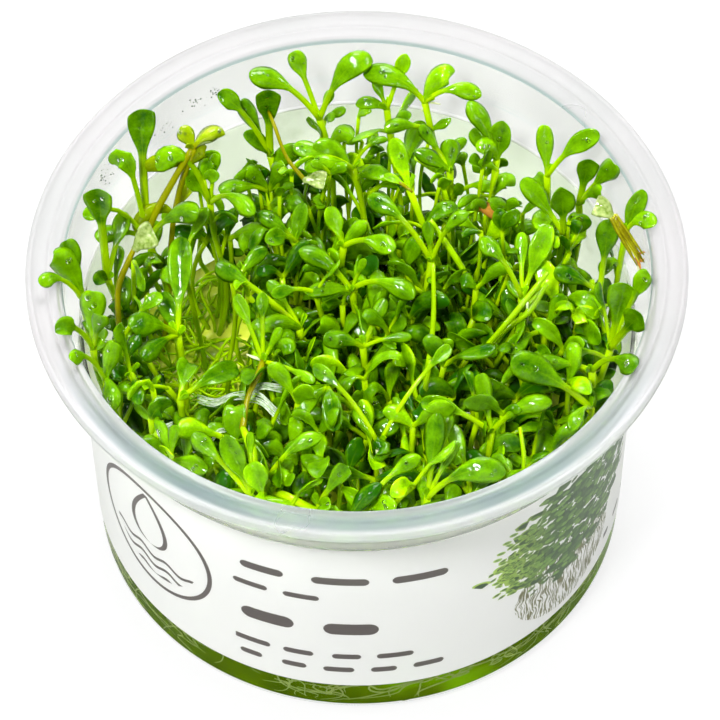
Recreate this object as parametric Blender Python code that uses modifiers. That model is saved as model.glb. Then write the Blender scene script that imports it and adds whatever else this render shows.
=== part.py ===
"""An open clear cup of in vitro water plants: cup, wrap label, nutrient gel and plantlets.

The cup stands on z = 0 and its axis is +Z. The front of the label faces -Y. Sizes are in
millimetres up to the moment a mesh is made, and in metres from there on.
"""

import math

import bmesh
import bpy
from mathutils import Matrix, Vector, noise
from mathutils.bvhtree import BVHTree

MM = 0.001
MERGE = 0.00001
COLLECTION = "glossostigma_tissue_culture_cup"

# Driving sizes of the cup
RIM_RADIUS = 50.0
CUP_HEIGHT = 60.0
MOUTH_RADIUS = 44.4
WALL = 0.7
FLANGE_RIDGE_RADIUS = 46.6
FLANGE_LIP = 1.2
FLANGE_EDGE = 0.7
FLANGE_ROOT = 2.4
LEDGE_TOP = 50.0
LEDGE_FOOT = 46.2
BODY_TOP_RADIUS = 42.4
BODY_FOOT_RADIUS = 40.6
BODY_FOOT = 3.0
FOOT_ROUND = 2.4
FLOOR = 1.3
FOOT_RING_INNER = 31.5
FOOT_RING_HEIGHT = 0.6
SEGMENTS = 36

# Label, gel and undergrowth
LABEL_LOW = 7.7
LABEL_HIGH = 45.8
LABEL_GAP = 0.2
LABEL_THICKNESS = 0.3
GAP = 0.3
GEL_TOP = 16.0
GEL_MENISCUS = 1.2
MENISCUS_WIDTH = 2.5
MAT_TOP = 38.5
MAT_BACK_DROP = 5.5
MAT_BACK_START = 4.0
MAT_BACK_WIDTH = 24.0
MAT_SEGMENTS = 24
MAT_RINGS = 10
MAT_WALL_GAP = 1.0
MAT_ROUGHNESS = 2.6
MAT_ROUGHNESS_PITCH = 0.13
MAT_NOISE_LAYER = 4.2
MAT_EDGE_RISE = 2.0
MAT_EDGE_DROP = 2.0
HOLLOW_X = -23.5
HOLLOW_Y = 9.0
HOLLOW_DEPTH = 18.0
HOLLOW_HALF_X = 7.5
HOLLOW_HALF_Y = 11.5

# Leaves and stems
PETIOLE_HALF = 0.5
PETIOLE_EXTRA = 0.14
SHORTEST_PETIOLE = 1.5
HIGH_ARCH = 2.4
LEAF_HALF_THICKNESS = 0.28
SPOON_CUPPING = 0.5
LEAF_CUPPING = -0.12
STEM_RADIUS = 0.6
STEM_FOOT_GAP = 0.8
NODE_RADIUS = 0.85
NODE_OVERLAP = 0.5
FACING = Vector((0.0, -0.55, 0.83))

# How far a leaf or a foot may move to stand clear of its neighbours
CLEARANCE = 0.2
LEAF_SCALES = (1.0, 0.85, 0.7)
LEAF_RAISES = (0.0, 0.8, -0.8, 1.6)
LEAF_SWINGS = (0, 7, -7, 14, -14, 22, -22, 32, -32)
FOOT_STEPS = (0.0, 1.2, 2.4, 3.6)
FOOT_DIRECTIONS = 8
ABOVE_ALL = 90.0
DOWN = Vector((0.0, 0.0, -1.0))

# How a leaf widens: distance back from the tip and half width, both in leaf widths
LEAF_OUTLINE = ((2.0, None), (0.85, 0.5), (0.0, 0.26))
SPOON_OUTLINE = ((2.6, None), (0.5, 0.5), (0.0, 0.42))


def leaf(x, y, z, lift=1.0, width=3.0, turn=0.0, spoon=False):
    """One leaf: its tip, how far its arc rises over the chord, its width and its roll in degrees."""
    return {"tip": Vector((x, y, z)), "lift": lift, "width": width, "turn": turn, "spoon": spoon}


# Each plantlet: where its stem stands, where its leaves fork, and its leaves
PLANTLETS = {
    "left_spoon": ((-33.3, 9.7), (-38.2, 9.5, 45), [
        leaf(-38.9, 10.2, 66.6, 0.2, 4.3, spoon=True),
        leaf(-39.8, 5.4, 49, 1.0, 2.4)]),
    "left_tall": ((-27.6, 12), (-32.3, 18.3, 43), [
        leaf(-33.4, 25.5, 66, 0.3, 4.3, spoon=True),
        leaf(-36.2, 19.5, 59, 7.0, 3.0),
        leaf(-41.4, 12.0, 57, 5.0, 2.4),
        leaf(-39.6, 11.0, 51, 2.0, 2.6),
        leaf(-24.2, 13.4, 56, 2.5, 3.5)]),
    "left_rim": ((-36, 2), (-41.3, -0.4, 52), [
        leaf(-45.6, -2.7, 65, 1.6, 4.0),
        leaf(-43.6, 1.8, 65.5, 0.8, 3.0),
        leaf(-47.6, -5.0, 63, 3.6, 2.4)]),
    "left_dark": ((-36, -5), (-40.0, -7.5, 50), [
        leaf(-39.8, -4.4, 60, 0.3, 4.1),
        leaf(-45.0, -13.6, 62.5, 3.2, 3.1),
        leaf(-38.4, -8.6, 59.5, 0.8, 2.8)]),
    "left_low": ((-33, -11), (-38.2, -11.5, 47), [
        leaf(-42.6, -18.9, 62.5, 3.4, 2.5),
        leaf(-36.7, -10.2, 55, 0.5, 3.0),
        leaf(-36.6, -18.0, 48.5, 2.5, 3.0)]),
    "left_gloss": ((-31, -6), (-34.5, -8.0, 44), [
        leaf(-36.0, -6.4, 54.5, 0.4, 2.6, turn=50),
        leaf(-33.0, -16.0, 47.0, 2.0, 2.4)]),
    "gap_left": ((-28.7, -1.7), (-27.5, 1.4, 41), [
        leaf(-34.4, -3.4, 50, 1.8, 4.0),
        leaf(-32.6, -6.2, 45.5, 1.2, 3.3),
        leaf(-30.0, 7.0, 44.5, 0.8, 3.0)]),
    "gap_front": ((-26.5, -14), (-27.0, -12.5, 43.5), [
        leaf(-18.2, -6.4, 43, 1.2, 3.4),
        leaf(-25.8, -4.8, 42.5, 1.0, 3.4)]),
    "arch_left": ((-22, 20), (-22.5, 23.1, 46), [
        leaf(-30.5, 21.6, 56.5, 5.0, 3.6),
        leaf(-25.8, 22.6, 54.5, 0.4, 3.2),
        leaf(-15.6, 16.2, 52, 3.0, 3.2),
        leaf(-21.4, 25.6, 55, 0.4, 1.8)]),
    "brown_tall": ((-27, 22), (-24.6, 24.6, 58), [
        leaf(-26.4, 26.4, 61.5, 0.6, 2.8),
        leaf(-19.8, 25.2, 59.5, 1.4, 2.6)]),
    "back_spoon": ((-12, 26), (-13.2, 31.5, 47), [
        leaf(-13.4, 33.0, 61.4, 0.2, 3.9, spoon=True),
        leaf(-20.9, 32.0, 62, 2.4, 3.0),
        leaf(-17.6, 33.6, 58, 0.6, 2.8),
        leaf(-17.2, 31.0, 53, 1.2, 2.6)]),
    "back_pair": ((-2, 26), (-5.5, 33.0, 54), [
        leaf(-16.2, 33.6, 64.5, 3.0, 3.6),
        leaf(-9.3, 36.8, 66, 0.3, 2.9),
        leaf(3.0, 35.9, 64.5, 5.0, 3.8),
        leaf(-3.6, 35.0, 58.5, 0.3, 1.6)]),
    "back_fork": ((6, 28), (4.9, 33.2, 56), [
        leaf(8.0, 36.8, 65, 0.3, 2.4),
        leaf(0.0, 33.8, 56.6, 1.0, 2.1),
        leaf(3.0, 35.6, 60.5, 0.2, 1.6)]),
    "back_arch": ((16, 24), (10.7, 32.5, 58.5), [
        leaf(1.0, 32.4, 62.5, 2.8, 3.4),
        leaf(15.4, 34.8, 63, 2.8, 3.6),
        leaf(19.4, 31.8, 60.5, 2.6, 2.8)]),
    "back_round": ((23, 22), (21.7, 26.3, 52), [
        leaf(17.1, 30.6, 61, 2.6, 3.2),
        leaf(22.6, 28.6, 58.6, 0.4, 3.6),
        leaf(18.6, 24.8, 56, 2.0, 3.3),
        leaf(17.8, 28.2, 57, 0.4, 2.8)]),
    "middle_dark": ((14, 22), (14.5, 25.8, 50), [
        leaf(10.1, 30.1, 56, 0.4, 2.1),
        leaf(14.6, 28.4, 54.5, 0.6, 3.2),
        leaf(9.0, 27.0, 53, 0.8, 2.6)]),
    "middle_back": ((2, 22), (-0.5, 26.5, 50), [
        leaf(-8.0, 25.3, 51.5, 1.6, 3.0),
        leaf(-9.6, 28.0, 53.5, 1.0, 2.8),
        leaf(5.0, 27.9, 55, 2.4, 1.2)]),
    "shiny": ((-12, 22), (-13.5, 26.8, 44), [
        leaf(-11.0, 25.2, 52, 0.8, 3.2),
        leaf(-16.6, 25.6, 51, 0.8, 2.6),
        leaf(-21.0, 22.6, 49.5, 1.4, 2.8)]),
    "bright_spoon": ((17, 8), (8.2, 19.1, 54), [
        leaf(5.8, 24.4, 60, 0.2, 3.2),
        leaf(4.2, 20.6, 55.5, 0.6, 1.4)]),
    "double_stem": ((6.9, -3), (11.4, 11.3, 46), [
        leaf(1.6, 16.8, 55, 3.4, 3.2),
        leaf(17.2, 13.6, 55, 3.2, 2.2),
        leaf(10.8, 14.0, 52.5, 0.3, 1.9)]),
    "centre_star": ((-1, 4), (-0.9, 6.0, 46), [
        leaf(-8.9, 8.4, 53, 2.2, 3.2),
        leaf(8.6, 0.4, 51, 3.2, 3.4),
        leaf(1.2, 7.4, 52, 0.2, 1.3),
        leaf(-7.6, 4.4, 47.5, 0.8, 2.6)]),
    "centre_back": ((-2, 14), (-2.0, 14.4, 46), [
        leaf(5.8, 9.4, 51.6, 2.0, 3.3),
        leaf(-4.3, 17.4, 52, 0.4, 2.8),
        leaf(1.6, 15.4, 50.5, 0.8, 2.6)]),
    "ring_leaf": ((-9, 15), (-9.4, 16.2, 45), [
        leaf(-13.8, 11.4, 51, 1.6, 3.0),
        leaf(-8.0, 19.4, 50.5, 0.6, 2.5),
        leaf(-15.2, 19.0, 48.5, 1.0, 2.8)]),
    "left_reach": ((-9, 2), (-8.8, 2.6, 41), [
        leaf(-21.4, 8.3, 50, 1.2, 3.2),
        leaf(-14.5, -0.4, 45, 1.2, 3.2),
        leaf(-13.6, 7.6, 46.5, 0.8, 2.4)]),
    "brown_bud": ((-17.4, -12), (-14.4, -7.4, 46), [
        leaf(-18.2, -2.0, 56, 0.4, 2.2),
        leaf(-14.3, -1.4, 55.5, 0.3, 2.0),
        leaf(-6.6, -12.8, 48, 0.8, 1.8),
        leaf(-11.6, -4.8, 51, 0.2, 1.6)]),
    "centre_front": ((2, -8), (0.8, -3.0, 43.5), [
        leaf(4.3, 2.0, 49, 0.4, 2.5),
        leaf(-5.2, -5.4, 48.5, 1.0, 3.1),
        leaf(8.2, -3.2, 46.0, 1.0, 1.8)]),
    "long_arch": ((5, -23.2), (3.0, -21.7, 44), [
        leaf(-6.8, -13.6, 53, 3.0, 2.4),
        leaf(14.0, -10.8, 54, 2.6, 2.1),
        leaf(0.4, -19.0, 46.5, 0.2, 1.2)]),
    "drop_leaf": ((-3.8, -10), (-4.6, -12.4, 46), [
        leaf(-3.6, -20.6, 46, 2.2, 3.1),
        leaf(-9.5, -17.6, 45, 1.2, 2.6)]),
    "front_tongue": ((1, -31), (0.6, -32.8, 43.5), [
        leaf(9.4, -28.6, 50, 2.2, 2.6),
        leaf(5.4, -35.6, 47.0, 1.0, 3.0)]),
    "front_yellow": ((9, -28.8), (10.2, -32.3, 45), [
        leaf(11.9, -23.6, 54.5, 0.4, 3.4),
        leaf(21.8, -32.4, 51, 3.6, 4.0),
        leaf(14.8, -26.6, 51.5, 0.6, 2.0)]),
    "front_old": ((17, -27), (17.0, -29.5, 41), [
        leaf(20.6, -26.6, 46.5, 0.8, 3.2),
        leaf(14.0, -19.0, 45.5, 1.0, 2.6)]),
    "front_star": ((20, -17), (20.0, -19.6, 44), [
        leaf(9.4, -18.6, 50.5, 1.6, 3.0),
        leaf(18.4, -15.4, 53, 0.3, 2.8),
        leaf(29.2, -18.6, 50, 2.6, 3.1)]),
    "right_big": ((33, -13), (35.2, -15.4, 44), [
        leaf(23.0, -13.6, 54, 1.6, 4.8),
        leaf(31.8, -22.6, 48.4, 2.2, 2.4)]),
    "right_glint": ((33, -8), (35.4, -9.8, 46), [
        leaf(27.2, -11.4, 50.0, 1.0, 3.0),
        leaf(41.4, -20.6, 61.8, 4.6, 3.0)]),
    "right_tall": ((35, -4), (38.4, -5.6, 46), [
        leaf(39.6, -3.6, 60, 0.2, 3.9),
        leaf(43.4, -4.4, 64.5, 0.8, 2.7),
        leaf(41.8, -12.0, 62.5, 1.6, 3.8),
        leaf(36.6, -0.6, 56, 0.3, 2.2, turn=60)]),
    "right_broad": ((34, 4), (37.0, 5.0, 46), [
        leaf(38.4, 10.2, 57.5, 0.4, 3.6),
        leaf(34.6, 8.0, 50.5, 0.4, 3.0)]),
    "right_rim": ((36, 12), (40.4, 10.4, 55), [
        leaf(45.0, 6.8, 62.0, 2.6, 2.6),
        leaf(44.2, 13.6, 63.0, 1.8, 2.3)]),
    "right_fork": ((27, 18), (29.3, 21.4, 54), [
        leaf(28.8, 25.0, 62, 0.3, 2.8),
        leaf(37.2, 22.4, 63, 2.0, 3.2)]),
    "right_cup": ((31, 18), (34.2, 19.8, 49), [
        leaf(34.6, 21.0, 60, 0.2, 3.4, spoon=True),
        leaf(38.6, 18.0, 61.5, 0.3, 3.0),
        leaf(38.0, 16.8, 57.0, 0.8, 2.6)]),
    "right_spade": ((30, 14), (31.8, 16.2, 46), [
        leaf(31.0, 18.2, 57, 0.2, 3.9),
        leaf(35.8, 14.6, 51.5, 0.8, 2.8),
        leaf(25.4, 20.4, 54.5, 1.0, 3.2)]),
    "right_arch": ((20, 0), (25.1, 4.1, 46), [
        leaf(18.4, 8.8, 54, 3.4, 2.9),
        leaf(29.4, 11.2, 55, 0.4, 3.4),
        leaf(25.2, 12.2, 52, 0.4, 2.3)]),
    "right_middle": ((28, 0), (28.4, 1.4, 41), [
        leaf(31.6, 3.4, 47.5, 0.4, 2.7),
        leaf(23.1, 7.5, 46.0, 0.8, 2.0),
        leaf(22.6, -6.6, 46.5, 1.2, 2.8)]),
    "front_left_big": ((-16, -30), (-16.1, -32.0, 45), [
        leaf(-20.0, -26.2, 53, 0.3, 3.5),
        leaf(-16.2, -25.6, 53, 0.2, 1.4),
        leaf(-24.8, -25.4, 52.5, 0.8, 3.0)]),
    "front_left_arch": ((-13, -25), (-13.6, -27.4, 44), [
        leaf(-5.6, -24.4, 50, 2.4, 2.7),
        leaf(-10.6, -30.2, 46.6, 1.0, 2.6)]),
    "front_horn": ((-5, -31), (-6.0, -31.8, 43), [
        leaf(-1.8, -29.6, 49.6, 0.6, 2.7, spoon=True),
        leaf(-4.8, -35.4, 46.4, 1.0, 2.4)]),
    "left_front": ((-27, -23), (-28.4, -25.2, 45), [
        leaf(-32.2, -25.4, 51, 0.6, 2.8),
        leaf(-27.4, -22.4, 50.5, 0.3, 2.0),
        leaf(-22.8, -28.8, 47.5, 1.0, 3.0)]),
}

# Low leaves that grow out of the undergrowth, spread as seeds are in a sunflower
MAT_LEAF_COUNT = 28
MAT_LEAF_SPREAD = 35.5
MAT_LEAF_LENGTH = 7.5
MAT_LEAF_WIDTH = 4.4
MAT_LEAF_RISE = 3.6
MAT_LEAF_HEADING = 3.3
MAT_LEAF_ROOT = 1.0
MAT_LEAF_WIDEST = 0.6
MAT_LEAF_MARGIN = 2.0
GOLDEN_ANGLE = math.radians(137.508)


def body_radius(z):
    """Outer radius of the tapered body at height z."""
    share = (z - BODY_FOOT) / (LEDGE_FOOT - BODY_FOOT)
    return BODY_FOOT_RADIUS + (BODY_TOP_RADIUS - BODY_FOOT_RADIUS) * share


def clear_scene():
    """Remove every object, so that the model starts empty."""
    for item in list(bpy.data.objects):
        bpy.data.objects.remove(item, do_unlink=True)


def make_collection(name):
    """Add one collection to the scene."""
    made = bpy.data.collections.new(name)
    bpy.context.scene.collection.children.link(made)
    return made


def material(name, color, roughness, transmission=0.0, ior=1.45, alpha=1.0):
    """A Principled material with plain values."""
    made = bpy.data.materials.new(name)
    made.use_nodes = True
    shader = made.node_tree.nodes["Principled BSDF"]
    shader.inputs["Base Color"].default_value = (*color, 1.0)
    shader.inputs["Roughness"].default_value = roughness
    shader.inputs["Transmission Weight"].default_value = transmission
    shader.inputs["IOR"].default_value = ior
    shader.inputs["Alpha"].default_value = alpha
    made.diffuse_color = (*color, alpha)
    return made


def add_object(name, mesh, surface, collection):
    """Link a mesh to a collection under a node name, with one material."""
    made = bpy.data.objects.new(name, mesh)
    mesh.materials.append(surface)
    collection.objects.link(made)
    return made


def turned(name, profile, surface, collection, closed=False):
    """A solid turned about Z from points (radius, height) that run down its outer side."""
    mesh = bpy.data.meshes.new(name)
    points = [(radius * MM, 0.0, height * MM) for radius, height in profile]
    edges = [(i, i + 1) for i in range(len(points) - 1)]
    if closed:
        edges.append((len(points) - 1, 0))
    mesh.from_pydata(points, edges, [])
    made = add_object(name, mesh, surface, collection)
    screw = made.modifiers.new("turn", "SCREW")
    screw.axis = "Z"
    screw.angle = math.tau
    screw.steps = SEGMENTS
    screw.render_steps = SEGMENTS
    screw.use_merge_vertices = True
    screw.merge_threshold = MERGE
    screw.use_smooth_shade = True
    return made


def cup_profile():
    """The cup's section: up the inside, over the flange, and down the outside to the foot ring."""
    inner_foot = BODY_FOOT_RADIUS - WALL
    collar = MOUTH_RADIUS + WALL
    inside = [
        (0.0, FLOOR),
        (inner_foot - FOOT_ROUND, FLOOR),
        (inner_foot, FLOOR + FOOT_ROUND),
        (BODY_TOP_RADIUS - WALL, LEDGE_FOOT + WALL / 2.0),
        (MOUTH_RADIUS, LEDGE_TOP),
        (MOUTH_RADIUS, CUP_HEIGHT - FLANGE_LIP),
    ]
    flange = [
        (MOUTH_RADIUS + FLANGE_EDGE, CUP_HEIGHT - FLANGE_EDGE),
        (FLANGE_RIDGE_RADIUS, CUP_HEIGHT - FLANGE_LIP / 2.0),
        (RIM_RADIUS - FLANGE_EDGE, CUP_HEIGHT),
        (RIM_RADIUS, CUP_HEIGHT - FLANGE_EDGE),
        (RIM_RADIUS, CUP_HEIGHT - FLANGE_LIP),
        (RIM_RADIUS - FLANGE_EDGE, CUP_HEIGHT - FLANGE_LIP),
        (FLANGE_RIDGE_RADIUS, CUP_HEIGHT - FLANGE_LIP - FLANGE_EDGE / 2.0),
        (collar, CUP_HEIGHT - FLANGE_ROOT),
    ]
    outside = [
        (collar, LEDGE_TOP - WALL / 2.0),
        (BODY_TOP_RADIUS, LEDGE_FOOT),
        (BODY_FOOT_RADIUS, BODY_FOOT),
        (BODY_FOOT_RADIUS - FOOT_ROUND / 3.0, FOOT_ROUND / 3.0),
        (BODY_FOOT_RADIUS - FOOT_ROUND, 0.0),
        (FOOT_RING_INNER, 0.0),
        (FOOT_RING_INNER - FOOT_RING_HEIGHT, FOOT_RING_HEIGHT),
        (0.0, FOOT_RING_HEIGHT),
    ]
    return inside + flange + outside


def label_profile():
    """The wrap label's thin closed section, parallel to the body's wall."""
    low_in = body_radius(LABEL_LOW) + LABEL_GAP
    high_in = body_radius(LABEL_HIGH) + LABEL_GAP
    return [
        (high_in, LABEL_HIGH),
        (high_in + LABEL_THICKNESS, LABEL_HIGH),
        (low_in + LABEL_THICKNESS, LABEL_LOW),
        (low_in, LABEL_LOW),
    ]


def gel_profile():
    """The nutrient gel: level, with a small raised edge along the wall."""
    edge = body_radius(GEL_TOP) - WALL - GAP
    foot = BODY_FOOT_RADIUS - WALL - GAP
    return [
        (0.0, GEL_TOP),
        (edge - MENISCUS_WIDTH, GEL_TOP),
        (edge, GEL_TOP + GEL_MENISCUS),
        (foot, FLOOR + FOOT_ROUND + GAP),
        (foot - FOOT_ROUND, FLOOR + GAP),
        (0.0, FLOOR + GAP),
    ]


def mat_height(x, y):
    """Height of the undergrowth's top: rough, lower at the back, with one hollow at the left."""
    place = Vector((x * MAT_ROUGHNESS_PITCH, y * MAT_ROUGHNESS_PITCH, MAT_NOISE_LAYER))
    across = (x - HOLLOW_X) / HOLLOW_HALF_X
    along = (y - HOLLOW_Y) / HOLLOW_HALF_Y
    hollow = HOLLOW_DEPTH * math.exp(-(across ** 2 + along ** 2))
    edge_rise = MAT_EDGE_RISE * (math.hypot(x, y) / BODY_FOOT_RADIUS) ** 2
    back = min(1.0, max(0.0, (y - MAT_BACK_START) / MAT_BACK_WIDTH))
    back_drop = MAT_BACK_DROP * back * back * (3.0 - 2.0 * back)
    return MAT_TOP + MAT_ROUGHNESS * noise.noise(place) + edge_rise - back_drop - hollow


def make_mat_body(surface, collection):
    """The undergrowth's core: a flattened ball between the gel and the leaves above it."""
    bm = bmesh.new()
    bmesh.ops.create_uvsphere(bm, u_segments=MAT_SEGMENTS, v_segments=MAT_RINGS, radius=1.0)
    low = GEL_TOP + GEL_MENISCUS + GAP
    equator = math.pi / 2.0
    band = math.pi / MAT_RINGS
    for vert in bm.verts:
        polar = math.acos(max(-1.0, min(1.0, vert.co.z)))
        around = math.atan2(vert.co.y, vert.co.x)
        upper = polar < equator + band / 2.0
        reach = polar / equator if upper else (math.pi - polar) / (equator - band)
        height = MAT_TOP if upper else low
        radius = reach * (body_radius(height) - WALL - MAT_WALL_GAP)
        x = radius * math.cos(around)
        y = radius * math.sin(around)
        z = mat_height(x, y) - MAT_EDGE_DROP * reach ** 6 if upper else low
        vert.co = Vector((x, y, z)) * MM
    bm.normal_update()
    mesh = bpy.data.meshes.new("undergrowth")
    bm.to_mesh(mesh)
    bm.free()
    return add_object("undergrowth", mesh, surface, collection)


def leaf_path(start, tip, lift, steps=24):
    """Points along a leaf from its node to its tip, rising first and then arching over."""
    control = start.lerp(tip, 0.45) + Vector((0.0, 0.0, 2.0 * lift))
    return [start.lerp(control, i / steps).lerp(control.lerp(tip, i / steps), i / steps)
            for i in range(steps + 1)]


def path_lengths(points):
    """Distance of each point from the first, along the path."""
    lengths = [0.0]
    for a, b in zip(points, points[1:]):
        lengths.append(lengths[-1] + (b - a).length)
    return lengths


def at_distance(points, lengths, distance):
    """Point and direction at one distance along a path."""
    distance = max(0.0, min(lengths[-1], distance))
    for i in range(1, len(points)):
        if distance <= lengths[i]:
            span = points[i] - points[i - 1]
            share = (distance - lengths[i - 1]) / (lengths[i] - lengths[i - 1])
            return points[i - 1] + span * share, span.normalized()
    return points[-1], (points[-1] - points[-2]).normalized()


def ring(center, direction, half_width, half_thickness, turn, cup):
    """Four points across a leaf: left edge, upper face, right edge and lower face."""
    normal = (FACING - direction * FACING.dot(direction)).normalized()
    normal = Matrix.Rotation(math.radians(turn), 3, direction) @ normal
    side = direction.cross(normal)
    return [
        center - side * half_width + normal * cup,
        center + normal * half_thickness,
        center + side * half_width + normal * cup,
        center - normal * half_thickness,
    ]


def leaf_rings(start, shape, swell=0.0):
    """The rings of one leaf from its node to its tip, made larger all round by swell."""
    points = leaf_path(start, shape["tip"], shape["lift"])
    lengths = path_lengths(points)
    width = shape["width"]
    outline = SPOON_OUTLINE if shape["spoon"] else LEAF_OUTLINE
    stations = [(0.0, PETIOLE_HALF)]
    for back, half in outline:
        distance = lengths[-1] - back * width
        if half is None:
            if distance < SHORTEST_PETIOLE:
                continue
            if shape["lift"] > HIGH_ARCH:
                stations.append((distance / 2.0, PETIOLE_HALF))
            stations.append((distance, PETIOLE_HALF))
        elif distance > PETIOLE_HALF:
            stations.append((distance, half * width))
    rings = []
    for distance, half in stations:
        center, direction = at_distance(points, lengths, distance)
        cup = (SPOON_CUPPING if shape["spoon"] else LEAF_CUPPING) * (half - PETIOLE_HALF)
        thick = LEAF_HALF_THICKNESS + (PETIOLE_EXTRA if half == PETIOLE_HALF else 0.0)
        rings.append(ring(center, direction, half + swell, thick + swell, shape["turn"], cup))
    return rings


def stem_rings(foot, crown, swell=0.0):
    """The rings of a stem that thickens towards the node where its leaves fork."""
    axis = (crown - foot).normalized()
    stations = [(foot, STEM_RADIUS), (crown + axis * NODE_OVERLAP, NODE_RADIUS)]
    return [ring(at, axis, radius + swell, radius + swell, 0.0, 0.0) for at, radius in stations]


def loft(rings, name):
    """A closed mesh through rings of four points."""
    bm = bmesh.new()
    rows = [[bm.verts.new(point * MM) for point in points] for points in rings]
    for low, high in zip(rows, rows[1:]):
        for i in range(4):
            j = (i + 1) % 4
            bm.faces.new((low[i], low[j], high[j], high[i]))
    bm.faces.new(list(reversed(rows[0])))
    bm.faces.new(rows[-1])
    bmesh.ops.triangulate(bm, faces=bm.faces[:])
    bmesh.ops.recalc_face_normals(bm, faces=bm.faces[:])
    mesh = bpy.data.meshes.new(name)
    bm.to_mesh(mesh)
    bm.free()
    return mesh


def triangulate(mesh):
    """Split a mesh's faces into triangles, so that every reader sees the same surface."""
    bm = bmesh.new()
    bm.from_mesh(mesh)
    bmesh.ops.triangulate(bm, faces=bm.faces[:])
    bm.to_mesh(mesh)
    bm.free()


def tree_of(mesh):
    """A search tree over a mesh's triangles."""
    mesh.calc_loop_triangles()
    triangles = [triangle.vertices for triangle in mesh.loop_triangles]
    return BVHTree.FromPolygons([v.co for v in mesh.vertices], triangles)


def is_free(rings, taken):
    """Whether a loft through these rings touches none of the solids already placed."""
    mesh = loft(rings, "probe")
    probe = tree_of(mesh)
    bpy.data.meshes.remove(mesh)
    return not any(probe.overlap(other) for other in taken)


def settle_leaf(crown, shape, taken):
    """Turn, lift or shorten a leaf a little until it is clear of its neighbours."""
    reach = shape["tip"] - crown
    for scale in LEAF_SCALES:
        for raise_by in LEAF_RAISES:
            for degrees in LEAF_SWINGS:
                swung = Matrix.Rotation(math.radians(degrees), 3, "Z") @ (reach * scale)
                trial = dict(shape, tip=crown + swung + Vector((0.0, 0.0, raise_by)))
                if is_free(leaf_rings(crown, trial, CLEARANCE), taken):
                    return trial
    return None


def height_under(x, y, floor_tree):
    """Height of the undergrowth at one place, or None where there is none."""
    hit = floor_tree.ray_cast(Vector((x, y, ABOVE_ALL)) * MM, DOWN)
    return None if hit[0] is None else hit[0].z / MM


def settle_foot(foot, crown, floor_tree, taken):
    """Find a clear place near a foot where the stem stands just above the undergrowth."""
    for radius in FOOT_STEPS:
        for i in range(FOOT_DIRECTIONS if radius else 1):
            around = i * math.tau / FOOT_DIRECTIONS
            x = foot[0] + radius * math.cos(around)
            y = foot[1] + radius * math.sin(around)
            top = height_under(x, y, floor_tree)
            if top is None:
                continue
            base = Vector((x, y, top + STEM_FOOT_GAP))
            if is_free(stem_rings(base, crown, CLEARANCE), taken):
                return base
    return None


def union(name, meshes, surface, collection):
    """One closed solid from overlapping closed meshes."""
    base = add_object(name, meshes[0], surface, collection)
    if len(meshes) == 1:
        return base
    tools = make_collection(name + "_tools")
    for mesh in meshes[1:]:
        tools.objects.link(bpy.data.objects.new(name + "_tool", mesh))
    joiner = base.modifiers.new("join", "BOOLEAN")
    joiner.operation = "UNION"
    joiner.operand_type = "COLLECTION"
    joiner.collection = tools
    joiner.solver = "EXACT"
    bpy.context.view_layer.update()
    graph = bpy.context.evaluated_depsgraph_get()
    joined = bpy.data.meshes.new_from_object(base.evaluated_get(graph))
    base.modifiers.remove(joiner)
    triangulate(joined)
    base.data = joined
    for item in list(tools.objects):
        bpy.data.objects.remove(item, do_unlink=True)
    bpy.data.collections.remove(tools)
    return base


def low_leaf(start, tip, width):
    """A short plain blade: base, tip, both edges and both faces."""
    middle = start.lerp(tip, MAT_LEAF_WIDEST)
    half_thickness = LEAF_HALF_THICKNESS + PETIOLE_EXTRA
    points = ring(middle, (tip - start).normalized(), width / 2.0, half_thickness, 0.0, 0.0)
    bm = bmesh.new()
    base = bm.verts.new(start * MM)
    end = bm.verts.new(tip * MM)
    belt = [bm.verts.new(point * MM) for point in points]
    for i in range(4):
        j = (i + 1) % 4
        bm.faces.new((base, belt[j], belt[i]))
        bm.faces.new((end, belt[i], belt[j]))
    bmesh.ops.recalc_face_normals(bm, faces=bm.faces[:])
    mesh = bpy.data.meshes.new("low_leaf")
    bm.to_mesh(mesh)
    bm.free()
    return mesh


def make_undergrowth(surface, collection):
    """The dense lower growth: one lumpy core with low leaves grown out of it."""
    core = make_mat_body(surface, collection)
    floor_tree = tree_of(core.data)
    meshes = [core.data.copy()]
    bpy.data.objects.remove(core, do_unlink=True)
    for i in range(MAT_LEAF_COUNT):
        around = i * GOLDEN_ANGLE
        radius = MAT_LEAF_SPREAD * math.sqrt((i + 0.5) / MAT_LEAF_COUNT)
        x = radius * math.cos(around)
        y = radius * math.sin(around)
        start = Vector((x, y, height_under(x, y, floor_tree) - MAT_LEAF_ROOT))
        heading = around * MAT_LEAF_HEADING
        step = Vector((math.cos(heading), math.sin(heading), 0.0)) * MAT_LEAF_LENGTH
        tip = start + step
        if tip.xy.length > MAT_LEAF_SPREAD + MAT_LEAF_MARGIN:
            tip = start - step
        tip.z = start.z + MAT_LEAF_RISE
        meshes.append(low_leaf(start, tip, MAT_LEAF_WIDTH))
    return union("undergrowth", meshes, surface, collection)


def make_plantlet(name, plan, taken, floor_tree, surface, collection):
    """One plantlet: a stem from the undergrowth to its node, and the leaves that fork there."""
    foot, crown, shapes = plan
    crown = Vector(crown)
    base = settle_foot(foot, crown, floor_tree, taken)
    if base is None:
        return None
    meshes = [loft(stem_rings(base, crown), name)]
    for shape in shapes:
        settled = settle_leaf(crown, shape, taken)
        if settled is not None:
            meshes.append(loft(leaf_rings(crown, settled), name + "_leaf"))
    return union(name, meshes, surface, collection)


def evaluated_tree(item):
    """A search tree over an object as its modifiers leave it."""
    graph = bpy.context.evaluated_depsgraph_get()
    mesh = bpy.data.meshes.new_from_object(item.evaluated_get(graph))
    tree = tree_of(mesh)
    bpy.data.meshes.remove(mesh)
    return tree


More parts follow.
